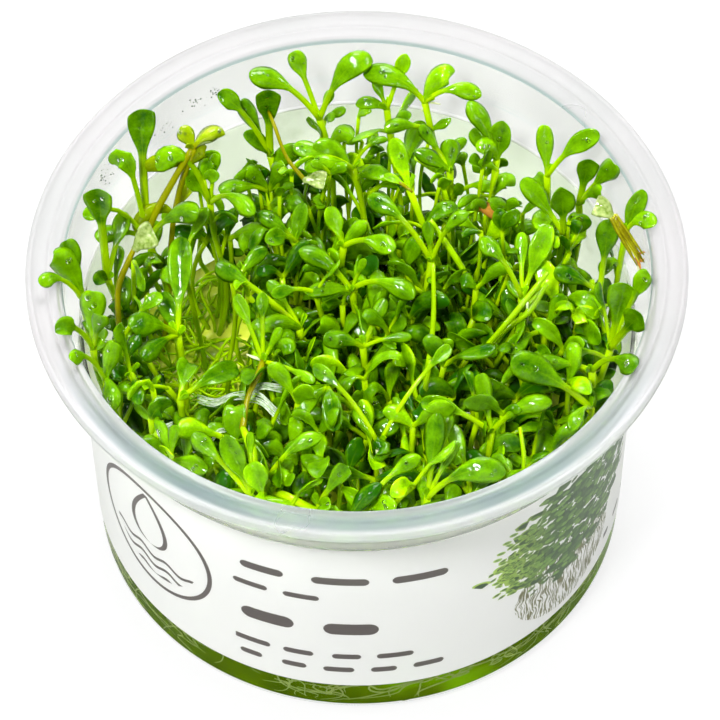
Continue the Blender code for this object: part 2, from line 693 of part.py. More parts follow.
def main():
    """Build the cup, its label, the gel, the undergrowth and every plantlet."""
    clear_scene()
    parts = make_collection(COLLECTION)
    clear = material("clear_cup", (0.93, 0.95, 0.94), 0.08, 0.9, 1.5, 0.35)
    paper = material("label_film", (0.86, 0.87, 0.86), 0.35)
    jelly = material("gel", (0.45, 0.62, 0.18), 0.05, 0.6, 1.34, 0.6)
    dark_leaf = material("low_growth", (0.05, 0.16, 0.01), 0.4)
    green = material("leaf", (0.20, 0.50, 0.02), 0.3)

    cup = turned("cup", cup_profile(), clear, parts)
    turned("label", label_profile(), paper, parts, closed=True)
    turned("nutrient_gel", gel_profile(), jelly, parts)
    undergrowth = make_undergrowth(dark_leaf, parts)
    bpy.context.view_layer.update()

    floor_tree = tree_of(undergrowth.data)
    taken = [evaluated_tree(cup), floor_tree]
    for name, plan in PLANTLETS.items():
        made = make_plantlet("plantlet_" + name, plan, taken, floor_tree, green, parts)
        if made is not None:
            taken.append(tree_of(made.data))


main()
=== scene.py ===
"""The looks of an open clear cup of in vitro water plants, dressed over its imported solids.

Sizes are in millimetres up to the moment a mesh is made. The cup stands on z = 0, its axis
is +Z and the front of its label faces -Y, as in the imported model.
"""

import math

import bmesh
import bpy
import numpy as np
from mathutils import Matrix, Vector


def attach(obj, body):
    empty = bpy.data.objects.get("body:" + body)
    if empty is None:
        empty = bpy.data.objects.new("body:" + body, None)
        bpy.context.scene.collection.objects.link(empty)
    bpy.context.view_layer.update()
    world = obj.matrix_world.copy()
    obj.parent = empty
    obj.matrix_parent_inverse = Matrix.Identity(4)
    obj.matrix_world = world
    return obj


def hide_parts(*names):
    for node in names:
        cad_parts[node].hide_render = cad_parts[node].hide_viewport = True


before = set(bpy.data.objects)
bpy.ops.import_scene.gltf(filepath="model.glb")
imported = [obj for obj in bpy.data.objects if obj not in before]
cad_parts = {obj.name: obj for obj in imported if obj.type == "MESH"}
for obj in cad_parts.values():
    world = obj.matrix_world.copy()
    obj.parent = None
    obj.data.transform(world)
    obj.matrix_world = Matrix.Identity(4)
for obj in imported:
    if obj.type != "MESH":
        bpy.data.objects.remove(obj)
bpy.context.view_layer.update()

MM = 0.001

# The camera, fitted to the outlines of the rim, the ledge, the label and the foot
IMAGE_SIZE = 720.0
CAMERA_TARGET = Vector((0.32, 0.0, 36.1))
CAMERA_ELEVATION = math.radians(53.63)
CAMERA_DISTANCE = 1100.0
CAMERA_SCALE = 7173.0
CAMERA_ROLL = math.radians(-0.65)
SENSOR = 36.0

# The cup, as packed
RIM_RADIUS = 50.0
CUP_HEIGHT = 60.0
MOUTH_RADIUS = 44.4
WALL = 0.7
LEDGE_TOP = 50.0
LEDGE_FOOT = 46.2
BODY_TOP_RADIUS = 42.4
BODY_FOOT_RADIUS = 40.6
BODY_FOOT = 3.0
FOOT_ROUND = 2.4
FLOOR = 1.3
FOOT_RING_INNER = 31.5
FOOT_RING_HEIGHT = 0.6
LEDGE_LINE = 49.8
LEDGE_LINE_HALF = 0.12
LEDGE_ROUND = 0.5
BODY_MIDDLE = 25.0
LIP_ROUND = 1.0
RIDGE_RADIUS = 46.6
RIDGE_ROUND = 0.42
VALLEY = (47.3, 48.6)
BEAD_RADIUS = 49.35
BEAD_ROUND = 0.4
EDGE_ROUND = 0.25
UNDER_EDGE = 46.9
COLLAR_ROUND = 1.2
FLANGE_DEPTH = 2.0
LABEL_LOW = 7.7
LABEL_HIGH = 45.8
LABEL_LIFT = 0.04
LABEL_FILM = 0.15
GEL_TOP = 16.0
GEL_MENISCUS = 1.2
WET_DEPTH = 0.35
TURN_STEPS = 192

# Leaves and stems: the way a leaf faces, the form of its blade, and how near it may come to the wall
FACING = np.array((0.0, -0.55, 0.83))
LEAF_HALF_THICKNESS = 0.14
LEAST_STALK = 0.3
BLADE_RATIO = (1.7, 2.65)
SPOON_RATIO = 1.9
SPOON_CURL = 0.42
MIDRIB_DEPTH = 0.03
FINE_ACROSS = (-1.0, -0.72, -0.36, 0.0, 0.36, 0.72, 1.0)
COARSE_ACROSS = (-1.0, -0.5, 0.0, 0.5, 1.0)
FINE_STEPS = (5, 11)
COARSE_STEPS = (3, 7)
STEM_RADIUS = 0.45
SHOOT_RADII = (0.42, 0.4, 0.36, 0.45)
FOOT_MARGIN = 3.5
CROWN_MARGIN = 3.0
LEAF_MARGIN = 1.8
BACK_LEAF_MARGIN = 1.5
SIDE_LEAF_REACH = 41.5
DROP_LEVELS = (-0.3, 0.15, 0.5, 0.8, 0.97)
DROP_SIDES = 10

SPOON = True


def leaf(x, y, z, lift, width, spoon=False, turn=0.0):
    """One leaf: its tip, its arc's rise, its width, whether it is spoon-shaped, and its roll in degrees."""
    return {"tip": np.array((x, y, z), float), "lift": lift, "width": width, "turn": turn, "spoon": spoon}


# Each plantlet: where its stem stands, where its leaves fork, and its leaves as rows for leaf()
PLANTLETS = {
    "left_spoon": ((-33.3, 9.7), (-38.2, 9.5, 45), (
        (-38.9, 10.3, 66.5, 0.2, 4.4, SPOON), (-35.4, 17.0, 52, 0.4, 2.8), (-39.8, 5.4, 49, 1.0, 2.4))),
    "left_tall": ((-27.6, 12), (-32.3, 18.3, 43), (
        (-32.7, 25.9, 66, 0.3, 4.4, SPOON), (-36.8, 20.6, 59, 9.0, 3.0), (-41.4, 12.0, 57, 5.0, 2.4),
        (-39.8, 12.6, 51, 2.0, 2.8), (-24.2, 13.4, 56, 2.5, 3.7))),
    "left_rim": ((-36, 2), (-41.3, -0.4, 52), (
        (-45.4, -1.2, 65.3, 3.0, 4.2), (-43.6, 1.6, 65.0, 0.8, 3.2), (-47.6, -5.0, 63, 3.6, 2.4))),
    "left_dark": ((-36, -5), (-40.0, -7.5, 50), (
        (-39.8, -4.4, 60, 0.3, 4.1), (-45.0, -13.6, 62.5, 3.2, 3.1), (-38.4, -8.6, 59.5, 0.8, 2.8))),
    "left_low": ((-33, -11), (-38.2, -11.5, 47), (
        (-42.6, -18.9, 62.5, 3.4, 2.5), (-36.7, -10.2, 55, 0.5, 3.0), (-36.6, -18.0, 48.5, 2.5, 3.0))),
    "left_gloss": ((-31, -6), (-34.5, -8.0, 44), (
        (-36.0, -6.4, 54.5, 0.4, 2.6, False, 50), (-33.0, -16.0, 47.0, 2.0, 2.4))),
    "gap_left": ((-28.7, -1.7), (-27.5, 1.4, 41), (
        (-34.4, -3.4, 50, 1.8, 4.0), (-32.6, -6.2, 45.5, 1.2, 3.3), (-26.7, 13.5, 50.0, 1.0, 4.0),
        (-30.0, 7.0, 44.5, 0.8, 3.0))),
    "gap_front": ((-26.5, -14), (-27.0, -12.5, 43.5), (
        (-18.2, -6.4, 43, 1.2, 3.4), (-25.8, -4.8, 42.5, 1.0, 3.4))),
    "arch_left": ((-22, 20), (-22.5, 23.1, 46), (
        (-30.5, 21.6, 56.5, 7.5, 3.6), (-25.8, 22.6, 54.5, 0.4, 3.2), (-15.6, 16.2, 52, 3.0, 3.2),
        (-21.4, 25.6, 55, 0.4, 1.8))),
    "brown_tall": ((-31.0, 15.5), (-24.8, 23.2, 59.5), (
        (-26.7, 25.2, 62.3, 0.6, 2.8), (-19.8, 25.0, 60.6, 1.8, 2.4))),
    "back_spoon": ((-12, 26), (-13.2, 31.5, 47), (
        (-13.4, 33.0, 61.4, 0.2, 3.9, SPOON), (-20.9, 32.0, 62, 2.4, 3.0), (-17.6, 33.6, 58, 0.6, 2.8),
        (-17.2, 31.0, 53, 1.2, 2.6))),
    "back_pair": ((-2, 26), (-5.5, 33.0, 54), (
        (-16.2, 33.6, 64.5, 3.0, 3.6), (-9.3, 36.8, 66, 0.3, 2.9), (3.0, 35.9, 64.5, 5.0, 3.8),
        (-3.6, 35.0, 58.5, 0.3, 1.6))),
    "back_fork": ((6, 28), (4.9, 33.2, 56), (
        (8.0, 36.8, 65, 0.3, 2.4), (0.0, 33.8, 56.6, 1.0, 2.1), (3.0, 35.6, 60.5, 0.2, 1.6))),
    "back_arch": ((16, 24), (10.7, 32.5, 58.5), (
        (1.3, 35.0, 62.5, 2.8, 3.6), (15.4, 34.8, 63, 2.8, 3.6), (19.4, 31.8, 60.5, 2.6, 2.8))),
    "back_round": ((23, 22), (21.7, 26.3, 52), (
        (17.1, 30.6, 61, 2.6, 3.2), (22.6, 28.6, 58.6, 0.4, 3.6), (18.6, 24.8, 56, 2.0, 3.3),
        (17.8, 28.2, 57, 0.4, 2.8))),
    "middle_dark": ((14, 22), (14.5, 25.8, 50), (
        (10.1, 30.1, 56, 0.4, 2.1), (14.6, 28.4, 54.5, 0.6, 3.2), (9.0, 27.0, 53, 0.8, 2.6))),
    "middle_back": ((2, 22), (-0.5, 26.5, 50), (
        (-8.0, 25.3, 51.5, 1.6, 3.0), (-9.6, 28.0, 53.5, 1.0, 2.8), (5.0, 27.9, 55, 2.4, 1.2))),
    "shiny": ((-12, 22), (-13.5, 26.8, 44), (
        (-11.0, 25.2, 52, 0.8, 3.2), (-16.6, 25.6, 51, 0.8, 2.6), (-21.0, 22.6, 49.5, 1.4, 2.8))),
    "bright_spoon": ((17, 8), (8.2, 19.1, 54), (
        (5.8, 24.4, 60, 0.2, 3.2), (4.2, 20.6, 55.5, 0.6, 1.4))),
    "double_stem": ((6.9, -3), (11.4, 11.3, 46), (
        (1.6, 16.8, 55, 3.4, 3.2), (17.2, 13.6, 55, 3.2, 2.2), (10.8, 14.0, 52.5, 0.3, 1.9))),
    "centre_star": ((-1, 4), (-0.9, 6.0, 46), (
        (-8.9, 8.4, 53, 2.2, 3.2), (8.6, 0.4, 51, 3.2, 3.4), (1.2, 7.4, 52, 0.2, 1.3),
        (-7.6, 4.4, 47.5, 0.8, 2.6))),
    "centre_back": ((-2, 14), (-2.0, 14.4, 46), (
        (5.8, 9.4, 51.6, 2.0, 3.3), (-4.3, 17.4, 52, 0.4, 2.8), (1.6, 15.4, 50.5, 0.8, 2.6))),
    "ring_leaf": ((-9, 15), (-9.4, 16.2, 45), (
        (-13.8, 11.4, 51, 1.6, 3.0), (-8.0, 19.4, 50.5, 0.6, 2.5), (-15.2, 19.0, 48.5, 1.0, 2.8))),
    "left_reach": ((-9, 2), (-8.8, 2.6, 41), (
        (-21.4, 8.3, 50, 1.2, 3.2), (-14.5, -0.4, 45, 1.2, 3.2), (-13.6, 7.6, 46.5, 0.8, 2.4))),
    "brown_bud": ((-17.4, -12), (-14.4, -7.4, 46), (
        (-18.2, -2.0, 56, 0.4, 2.2), (-14.3, -1.4, 55.5, 0.3, 2.0), (-6.6, -12.8, 48, 0.8, 1.8),
        (-11.6, -4.8, 51, 0.2, 1.6))),
    "centre_front": ((2, -8), (0.8, -3.0, 43.5), (
        (4.3, 2.0, 49, 0.4, 2.5), (-5.2, -5.4, 48.5, 1.0, 3.1), (8.2, -3.2, 46.0, 1.0, 1.8))),
    "long_arch": ((5, -23.2), (3.0, -21.7, 44), (
        (-6.8, -13.6, 53, 3.0, 2.4), (14.0, -10.8, 54, 2.6, 2.1), (0.4, -19.0, 46.5, 0.2, 1.2))),
    "drop_leaf": ((-3.8, -10), (-4.6, -12.4, 46), (
        (-3.6, -20.6, 46, 2.2, 3.1), (-9.5, -17.6, 45, 1.2, 2.6))),
    "front_tongue": ((1, -31), (0.6, -32.8, 43.5), (
        (9.4, -28.6, 50, 2.2, 2.6), (5.4, -35.6, 47.0, 1.0, 3.0))),
    "front_yellow": ((9, -28.8), (10.2, -32.3, 45), (
        (11.9, -23.6, 54.5, 0.4, 3.4), (21.8, -32.4, 51, 3.6, 4.0), (14.8, -26.6, 51.5, 0.6, 2.0))),
    "front_old": ((17, -27), (17.0, -29.5, 41), (
        (20.6, -26.6, 46.5, 0.8, 3.2), (14.0, -19.0, 45.5, 1.0, 2.6))),
    "front_star": ((20, -17), (20.0, -19.6, 44), (
        (9.4, -18.6, 50.5, 1.6, 3.0), (18.4, -15.4, 53, 0.3, 2.8), (29.2, -18.6, 50, 2.6, 3.1))),
    "right_big": ((33, -13), (35.2, -15.4, 44), (
        (23.0, -13.6, 54, 1.6, 4.8), (31.8, -22.6, 48.4, 2.2, 2.4))),
    "right_glint": ((33, -8), (35.4, -9.8, 46), (
        (27.2, -11.4, 50.0, 1.0, 3.0), (41.1, -20.8, 61.4, 2.8, 3.5))),
    "right_tall": ((35, -4), (38.4, -5.6, 46), (
        (40.2, -4.0, 60.4, 0.2, 4.6, SPOON), (43.4, -4.8, 64.2, 0.6, 2.8),
        (42.5, -11.4, 62.4, 0.5, 4.2, SPOON), (36.6, -0.6, 56, 0.3, 2.2, False, 60))),
    "right_broad": ((34, 4), (37.0, 5.0, 46), (
        (38.4, 10.2, 57.5, 0.4, 3.6), (30.0, 5.8, 50.5, 0.8, 3.0))),
    "right_rim": ((36, 12), (41.0, 9.6, 55.5), (
        (45.2, 6.2, 61.2, 2.0, 2.9), (43.8, 12.5, 61.6, 1.2, 2.9))),
    "right_fork": ((27, 18), (29.3, 21.4, 54), (
        (28.8, 25.0, 62, 0.3, 2.8), (37.2, 22.4, 63, 2.0, 3.2))),
    "right_cup": ((31, 18), (34.2, 19.8, 49), (
        (35.6, 20.0, 60, 0.2, 3.4, SPOON), (39.2, 17.6, 61.5, 0.3, 3.4), (37.2, 16.0, 57.0, 0.8, 2.6))),
    "right_spade": ((30, 14), (31.8, 16.2, 46), (
        (31.4, 16.7, 57, 0.2, 4.0), (35.8, 14.6, 51.5, 0.8, 2.8), (25.4, 20.4, 54.5, 1.0, 3.2))),
    "right_arch": ((20, 0), (25.1, 4.1, 46), (
        (18.4, 8.8, 54, 3.4, 2.9), (29.4, 11.2, 55, 0.4, 3.4), (25.2, 12.2, 52, 0.4, 2.3))),
    "right_middle": ((28, 0), (28.4, 1.4, 41), (
        (31.6, 3.4, 47.5, 0.4, 2.7), (23.1, 7.5, 46.0, 0.8, 2.0), (22.6, -6.6, 46.5, 1.2, 2.8))),
    "front_left_big": ((-16, -30), (-16.1, -32.0, 45), (
        (-20.0, -26.2, 53, 0.3, 3.5), (-16.2, -25.6, 53, 0.2, 1.4), (-24.8, -25.4, 52.5, 0.8, 3.0))),
    "front_left_arch": ((-13, -25), (-13.6, -27.4, 44), (
        (-5.6, -24.4, 50, 2.4, 2.7), (-10.6, -30.2, 46.6, 1.0, 2.6))),
    "front_horn": ((-5, -31), (-6.0, -31.8, 43), (
        (-1.8, -29.6, 49.6, 0.6, 2.7, SPOON), (-4.8, -35.4, 46.4, 1.0, 2.4))),
    "left_front": ((-27, -23), (-28.4, -25.2, 45), (
        (-32.2, -25.4, 51, 0.6, 2.8), (-27.4, -22.4, 50.5, 0.3, 2.0), (-22.8, -28.8, 47.5, 1.0, 3.0))),
}

# Old stems, bright stems, rusty bits and root stubs: each a path of points, its radii and its tone
OLD_STEMS = (
    (((-36.6, 4.5, 38), (-36.6, 8.0, 44), (-34.9, 8.8, 50), (-33.8, 10.0, 52)), (0.45, 0.45, 0.5, 0.4), 0.5),
    (((-13.3, 31.9, 57.4), (-12.4, 28.4, 58.4), (-10.6, 24.9, 55), (-7.9, 22.8, 52)),
     (0.25, 0.3, 0.28, 0.36), -0.1),
    (((4.9, 21.0, 55), (7.0, 19.4, 55), (8.6, 18.6, 54)), (0.2, 0.28, 0.2), -0.3),
    (((-14.3, -7.2, 46.2), (-15.1, -10.1, 46.5), (-16.7, -14.2, 46), (-17.5, -19.6, 45.5)),
     (0.5, 0.45, 0.4, 0.55), 0.35),
)
LEANING_STEMS = (
    (((-32.8, 18.0, 42.5), (-31.2, 18.8, 48), (-28.2, 20.8, 54), (-24.9, 23.2, 59.6)),
     (0.6, 0.58, 0.52, 0.5), 0.75),
    (((-32.4, 18.6, 42.5), (-32.3, 20.6, 50), (-32.4, 22.6, 56)), (0.5, 0.45, 0.25), 0.9),
)
RUSTY_BITS = (
    (((18.6, 23.2, 43.2), (19.6, 23.3, 44), (20.8, 22.4, 43.6), (21.7, 21.5, 42.6)),
     (0.3, 1.0, 0.8, 0.2), 0.3),
    (((42.4, 6.3, 53.7), (43.2, 5.6, 53.0), (43.7, 6.0, 53.1)), (0.35, 0.25, 0.08), 0.1),
    (((42.5, 6.0, 53.5), (43.0, 4.9, 52.6), (43.1, 4.4, 52.2)), (0.35, 0.25, 0.08), 0.3),
    (((42.6, 6.4, 53.6), (43.5, 6.8, 53.7), (43.8, 6.6, 53.8)), (0.3, 0.2, 0.07), 0.2),
)
BRIGHT_STEMS = (
    (((-17.5, -19.4, 45.5), (-16.2, -23.8, 46.5), (-15.8, -27.2, 45.5), (-16.0, -29.1, 42)),
     (0.5, 0.75, 0.75, 0.6), 0.9),
    (((-12.5, -28.5, 40), (-11.5, -30.1, 43), (-8.9, -31.6, 43), (-5.9, -31.8, 41)),
     (0.4, 0.7, 0.6, 0.4), 1.2),
    (((11.3, 16.2, 50), (15.2, 12.4, 45.4), (18.6, 8.9, 40)), (0.45, 0.5, 0.45), 0.6),
    (((25.6, 3.7, 46), (23.0, 1.2, 43.4), (19.8, -0.9, 38)), (0.45, 0.5, 0.45), 0.6),
    (((26.2, 2.7, 45), (23.9, 0.3, 42.4), (21.0, -1.9, 37)), (0.4, 0.45, 0.4), 0.5),
    (((35.9, 7.4, 46), (36.9, 4.4, 41), (37.4, 1.4, 34)), (0.4, 0.5, 0.45), 0.5),
    (((28.8, 10.4, 46), (27.6, 7.4, 41.5), (26.5, 4.5, 36)), (0.4, 0.45, 0.4), 0.4),
    (((11.6, 5.6, 53), (11.5, -1.3, 47), (10.1, -8.3, 40)), (0.34, 0.42, 0.4), 0.45),
    (((28.9, 2.9, 54), (25.4, -0.2, 51), (22.3, -2.6, 48), (19.6, -3.4, 44)), (0.36, 0.46, 0.44, 0.4), 0.55),
    (((28.8, 2.3, 52), (26.4, -0.4, 49), (23.4, -1.1, 46), (19.8, -3.0, 43)), (0.34, 0.42, 0.4, 0.4), 0.4),
    (((10.9, -10.4, 50), (10.1, -13.1, 46), (9.8, -14.6, 41)), (0.4, 0.45, 0.4), 0.4),
    (((24.2, -22.7, 49.5), (24.7, -26.0, 47), (24.6, -27.9, 43)), (0.3, 0.35, 0.3), 0.8),
)
ROOT_STUBS = (
    (((25.9, 3.3, 46), (26.0, 2.2, 43.5), (25.6, 1.2, 41)), (0.22, 0.2, 0.08), 1.0),
    (((24.3, 1.4, 44), (23.8, 0.8, 41.6)), (0.2, 0.08), 1.0),
    (((-14.6, -7.0, 46), (-16.0, -6.6, 46.2), (-16.9, -6.1, 46.2)), (0.3, 0.25, 0.1), 1.0),
    (((2.8, -21.8, 43.8), (3.1, -24.0, 42.4), (3.4, -25.7, 41)), (0.42, 0.38, 0.12), 1.0),
    (((3.2, -22.0, 43.6), (3.7, -24.2, 41.6)), (0.25, 0.08), 1.0),
    (((10.8, 32.6, 58.5), (10.2, 31.9, 57)), (0.22, 0.1), 1.0),
    (((11.2, 32.6, 58.5), (13.1, 32.8, 57.6)), (0.22, 0.1), 1.0),
    (((42.7, 5.4, 52.6), (42.8, 4.2, 51.2), (42.4, 2.9, 50.2)), (0.2, 0.14, 0.07), 0.6),
)
# Strips of dead film: a path of points and a width
STRIPS = (
    (((-24.5, -9.5, 39.6), (-21.9, -11.0, 40.5), (-19.5, -10.3, 41), (-17.2, -10.0, 41)), 1.3),
    (((-16.4, -10.1, 41.6), (-14.6, -9.8, 43), (-11.6, -9.6, 42)), 1.3),
    (((-16.6, -10.5, 41.6), (-14.6, -12.4, 43), (-11.9, -14.7, 41.5)), 2.2),
    (((-30.7, -17.1, 41.6), (-29.4, -17.1, 42.5), (-28.1, -16.0, 42)), 0.9),
    (((-22.2, -20.0, 43), (-21.2, -19.0, 44), (-20.0, -18.3, 43.6)), 0.9),
)
# Dead leaves: where each starts, and the leaf
DEAD_LEAVES = (
    ((-33.8, 9.8, 51.8), leaf(-30.7, 11.0, 54.2, 0.5, 4.2, SPOON)),
    ((-8.0, 22.6, 52.0), leaf(-4.7, 22.1, 52.3, 0.3, 3.0, SPOON)),
    ((-24.8, 23.3, 59.6), leaf(-20.4, 25.4, 61.3, 0.8, 2.6)),
    ((39.0, 10.5, 57.4), leaf(36.3, 11.8, 58.8, 0.5, 3.4, SPOON)),
)
# Groups of specks: angle from the front in degrees, height, spread of each, and how many
SPECKS = (
    (-150.8, 53.9, 0.5, 0.7, 14),
    (-147.0, 53.2, 1.6, 1.0, 14),
    (-140.0, 52.2, 2.0, 0.7, 14),
    (-120.0, 54.8, 1.3, 1.6, 26),
    (42.0, 52.8, 6.0, 1.2, 12),
)

# Low growth, and the gap in it where the gel shows
LOW_SHOOTS = 185
DEEP_SHOOTS = 190
TALL_SHOOTS = 34
RUNNERS = 210
ROOTS = 190
GROWTH_RADIUS = 38.5
CANOPY_TOP = 44.5
CANOPY_BACK_DROP = 7.5
CANOPY_BACK_START = 4.0
CANOPY_BACK_DEPTH = 24.0
CANOPY_EDGE_RISE = 0.04
GAP_IN_IMAGE = (202.0, 338.0)
GAP_HALF_SIZE = (46.0, 74.0)
GAP_GROWTH_TOP = 22.0
RUNNER_HEART = (-24.0, 4.0)
RUNNER_START_REACH = 36.0
RUNNER_REACH = 38.0
ROOT_TOP = 15.6
BACK_STEMS = 60
STUMP_TOP = (38.9, 10.6, 57.8)
STUMP_END = (42.5, 6.2, 53.6)
STUMP_FIBRES = 11
GOLDEN_ANGLE = math.radians(137.508)
SEED = 7

# The print on the label, in mm along the film from the middle of the front, and in height
LABEL_RADIUS = 41.6
EMBLEM_AT = (-36.2, 28.3)
EMBLEM_RADIUS = 12.2
EMBLEM_LINE = 0.42
DROP_HEIGHT = 13.0
DROP_WIDTH = 9.6
WAVES = (-4.6, -7.0, -9.4)
CLUMP_AT = (37.2, 30.8)
CLUMP_SIZE = (16.4, 12.0)
ROOTS_AT = (36.6, 17.9)
ROOTS_SIZE = (11.5, 8.8)
OVAL_SQUEEZE = 0.6
ROWS_SHIFT = 21.0
# Layers of ovals in the clump: density, lean, reach of each oval, and the range of its greens
OVALS = (
    (0.55, 0.3, 0.6, (0.02, 0.07, 0.02), (0.05, 0.13, 0.02)),
    (0.95, -0.35, 0.42, (0.03, 0.09, 0.02), (0.08, 0.19, 0.03)),
    (0.8, 0.4, 0.36, (0.05, 0.15, 0.02), (0.20, 0.38, 0.06)),
)
# Rows of plain pills: height, half height, start, end, pitch of the pills
ROWS = (
    (37.2, 1.05, -21.0, 15.0, 12.0),
    (32.0, 0.75, -21.0, -5.0, 8.0),
    (23.8, 1.7, -20.5, 5.5, 13.0),
    (16.0, 0.75, -20.0, 10.0, 7.5),
    (12.2, 0.75, -20.0, 15.0, 7.0),
    (12.0, 0.7, 48.0, 60.0, 6.0),
    (36.0, 0.95, 78.0, 110.0, 8.0),
    (32.5, 0.6, 78.0, 118.0, 5.7),
    (29.8, 0.6, 78.0, 118.0, 6.6),
    (27.1, 0.6, 78.0, 118.0, 5.0),
    (24.4, 0.6, 78.0, 103.0, 6.2),
    (36.0, 0.95, -118.0, -86.0, 8.0),
    (32.5, 0.6, -118.0, -80.0, 6.3),
    (29.8, 0.6, -118.0, -82.0, 5.2),
    (27.1, 0.6, -118.0, -96.0, 7.3),
)
SEAM_AT = 128.0

# Each leaf material: the darkest green, the brightest, the stalk and the young leaf
LEAF_COLORS = {
    "wet_leaf": ((0.014, 0.10, 0.0), (0.27, 0.60, 0.0), (0.48, 0.75, 0.0), (0.56, 0.88, 0.0)),
    # A darker copy of the wet leaf's greens: painted shade for the deep growth.
    "shaded_deep_leaf": ((0.008, 0.055, 0.0), (0.11, 0.32, 0.0), (0.24, 0.44, 0.0), (0.30, 0.52, 0.0)),
    "aged_stem": ((0.10, 0.14, 0.0), (0.32, 0.48, 0.0), (0.30, 0.30, 0.0), (0.46, 0.54, 0.04)),
    "old_straw": ((0.07, 0.06, 0.0), (0.36, 0.36, 0.0), (0.30, 0.30, 0.0), (0.64, 0.64, 0.06)),
    "rusty_husk": ((0.26, 0.06, 0.0), (0.62, 0.20, 0.01), (0.60, 0.28, 0.04), (0.8, 0.5, 0.2)),
    "root_stub": ((0.60, 0.68, 0.25), (0.78, 0.84, 0.42), (0.80, 0.85, 0.50), (0.9, 0.9, 0.7)),
    "old_fibre": ((0.15, 0.13, 0.0), (0.60, 0.62, 0.01), (0.48, 0.50, 0.01), (0.80, 0.80, 0.10)),
    "dark_speck": ((0.05, 0.09, 0.05), (0.12, 0.18, 0.10), (0.08, 0.13, 0.07), (0.2, 0.25, 0.15)),
}

# Each lamp: its place and size in metres, and its power in watts
LIGHTS = (
    ("key_light", (-0.25, -0.5, 1.0), 0.2, 17.0),
    ("top_light", (0.1, 0.35, 0.95), 0.45, 13.0),
    ("front_light", (0.2, -1.1, 0.35), 0.3, 2.3),
    ("left_light", (-0.9, 0.1, 0.5), 0.2, 3.5),
    ("right_light", (0.9, 0.1, 0.5), 0.2, 3.5),
    ("back_light", (0.0, 1.0, 0.3), 0.7, 5.0),
)
LIGHT_AIM = (0.0, 0.0, 0.04)
WORLD_STRENGTH = 0.09


# Node trees, where lengths are in metres

def maths(operation):
    """A method that makes one kind of maths node from two values."""
    def method(tree, a, b):
        return tree.math(operation, a, b)
    return method


class Tree:
    """A short way to build one material's node tree."""

    plus = maths("ADD")
    minus = maths("SUBTRACT")
    most = maths("MAXIMUM")
    below = maths("LESS_THAN")
    above = maths("GREATER_THAN")

    def __init__(self, name):
        self.material = bpy.data.materials.new(name)
        self.material.use_nodes = True
        self.nodes = self.material.node_tree.nodes
        self.links = self.material.node_tree.links
        self.shader = self.nodes["Principled BSDF"]
        self.output = self.nodes["Material Output"]

    def add(self, kind, **settings):
        """A node with its properties set by keyword."""
        node = self.nodes.new(kind)
        for key, value in settings.items():
            setattr(node, key, value)
        return node

    def put(self, socket, value):
        """Link a socket to another socket, or set its plain value."""
        if isinstance(value, bpy.types.NodeSocket):
            self.links.new(value, socket)
        elif isinstance(value, tuple) and len(value) == 3 and socket.type == "RGBA":
            socket.default_value = (*value, 1.0)
        else:
            socket.default_value = value

    def fill(self, node, *values):
        """Put values in a node's first sockets, in order; gives back its first output."""
        for socket, value in zip(node.inputs, values):
            self.put(socket, value)
        return node.outputs[0]

    def math(self, operation, a, b=0.0, c=0.0):
        """One maths node."""
        return self.fill(self.add("ShaderNodeMath", operation=operation), a, b, c)

    def blend(self, share, a, b):
        """A mix of two colours."""
        node = self.add("ShaderNodeMix", data_type="RGBA", clamp_factor=True)
        self.put(node.inputs["Factor"], share)
        self.put(node.inputs[6], a)
        self.put(node.inputs[7], b)
        return node.outputs[2]

    def span(self, value, low, high, to_low=0.0, to_high=1.0, smooth=False):
        """A value mapped from one range to another, held at the ends."""
        node = self.add("ShaderNodeMapRange", interpolation_type="SMOOTHSTEP" if smooth else "LINEAR")
        return self.fill(node, value, low, high, to_low, to_high)

    def vary(self, noise, low, high):
        """A value that follows a noise from low to high."""
        return self.span(noise, 0.3, 0.7, low, high)

    def noise(self, scale, detail=2.0):
        """Noise over the object's own coordinates, in metres."""
        node = self.add("ShaderNodeTexNoise")
        node.inputs["Scale"].default_value = scale
        node.inputs["Detail"].default_value = detail
        self.put(node.inputs["Vector"], self.place())
        return node.outputs["Fac"]

    def place(self):
        """The object's own coordinates."""
        return self.add("ShaderNodeTexCoord").outputs["Object"]

    def split(self, vector):
        """The three parts of a vector."""
        node = self.add("ShaderNodeSeparateXYZ")
        self.put(node.inputs[0], vector)
        return node.outputs

    def join(self, x, y, z=0.0):
        """A vector from three parts."""
        return self.fill(self.add("ShaderNodeCombineXYZ"), x, y, z)

    def near(self, value, middle, half):
        """One where a value lies within half of the middle, and nought elsewhere."""
        return self.math("COMPARE", value, middle, half)

    def times(self, *values):
        """The product of several values."""
        product = values[0]
        for value in values[1:]:
            product = self.math("MULTIPLY", product, value)
        return product

    def hypot(self, x, y):
        """The length of the way x across and y up."""
        return self.math("SQRT", self.plus(self.times(x, x), self.times(y, y)))

    def distance(self, x, y, at, size=(1.0, 1.0)):
        """How far a point is from a centre, in parts of an oval's two radii."""
        across = self.math("DIVIDE", self.minus(x, at[0]), size[0])
        up = self.math("DIVIDE", self.minus(y, at[1]), size[1])
        return self.hypot(across, up)

    def bump(self, height, distance, strength=1.0):
        """A bump from a height, over a real distance in metres."""
        node = self.add("ShaderNodeBump")
        node.inputs["Strength"].default_value = strength
        node.inputs["Distance"].default_value = distance
        self.put(node.inputs["Height"], height)
        return node.outputs[0]

    def let_through(self, share, color):
        """Let a share of the light glow through, as thin leaves and films do; gives back the material."""
        glow = self.add("ShaderNodeBsdfTranslucent")
        self.put(glow.inputs["Color"], color)
        both = self.add("ShaderNodeMixShader")
        self.put(both.inputs[0], share)
        self.links.new(self.shader.outputs[0], both.inputs[1])
        self.links.new(glow.outputs[0], both.inputs[2])
        self.links.new(both.outputs[0], self.output.inputs["Surface"])
        return self.material

    def set(self, **values):
        """Set the shader's sockets by name, with underscores for spaces; gives back the material."""
        for key, value in values.items():
            self.put(self.shader.inputs[key.replace("_", " ")], value)
        return self.material


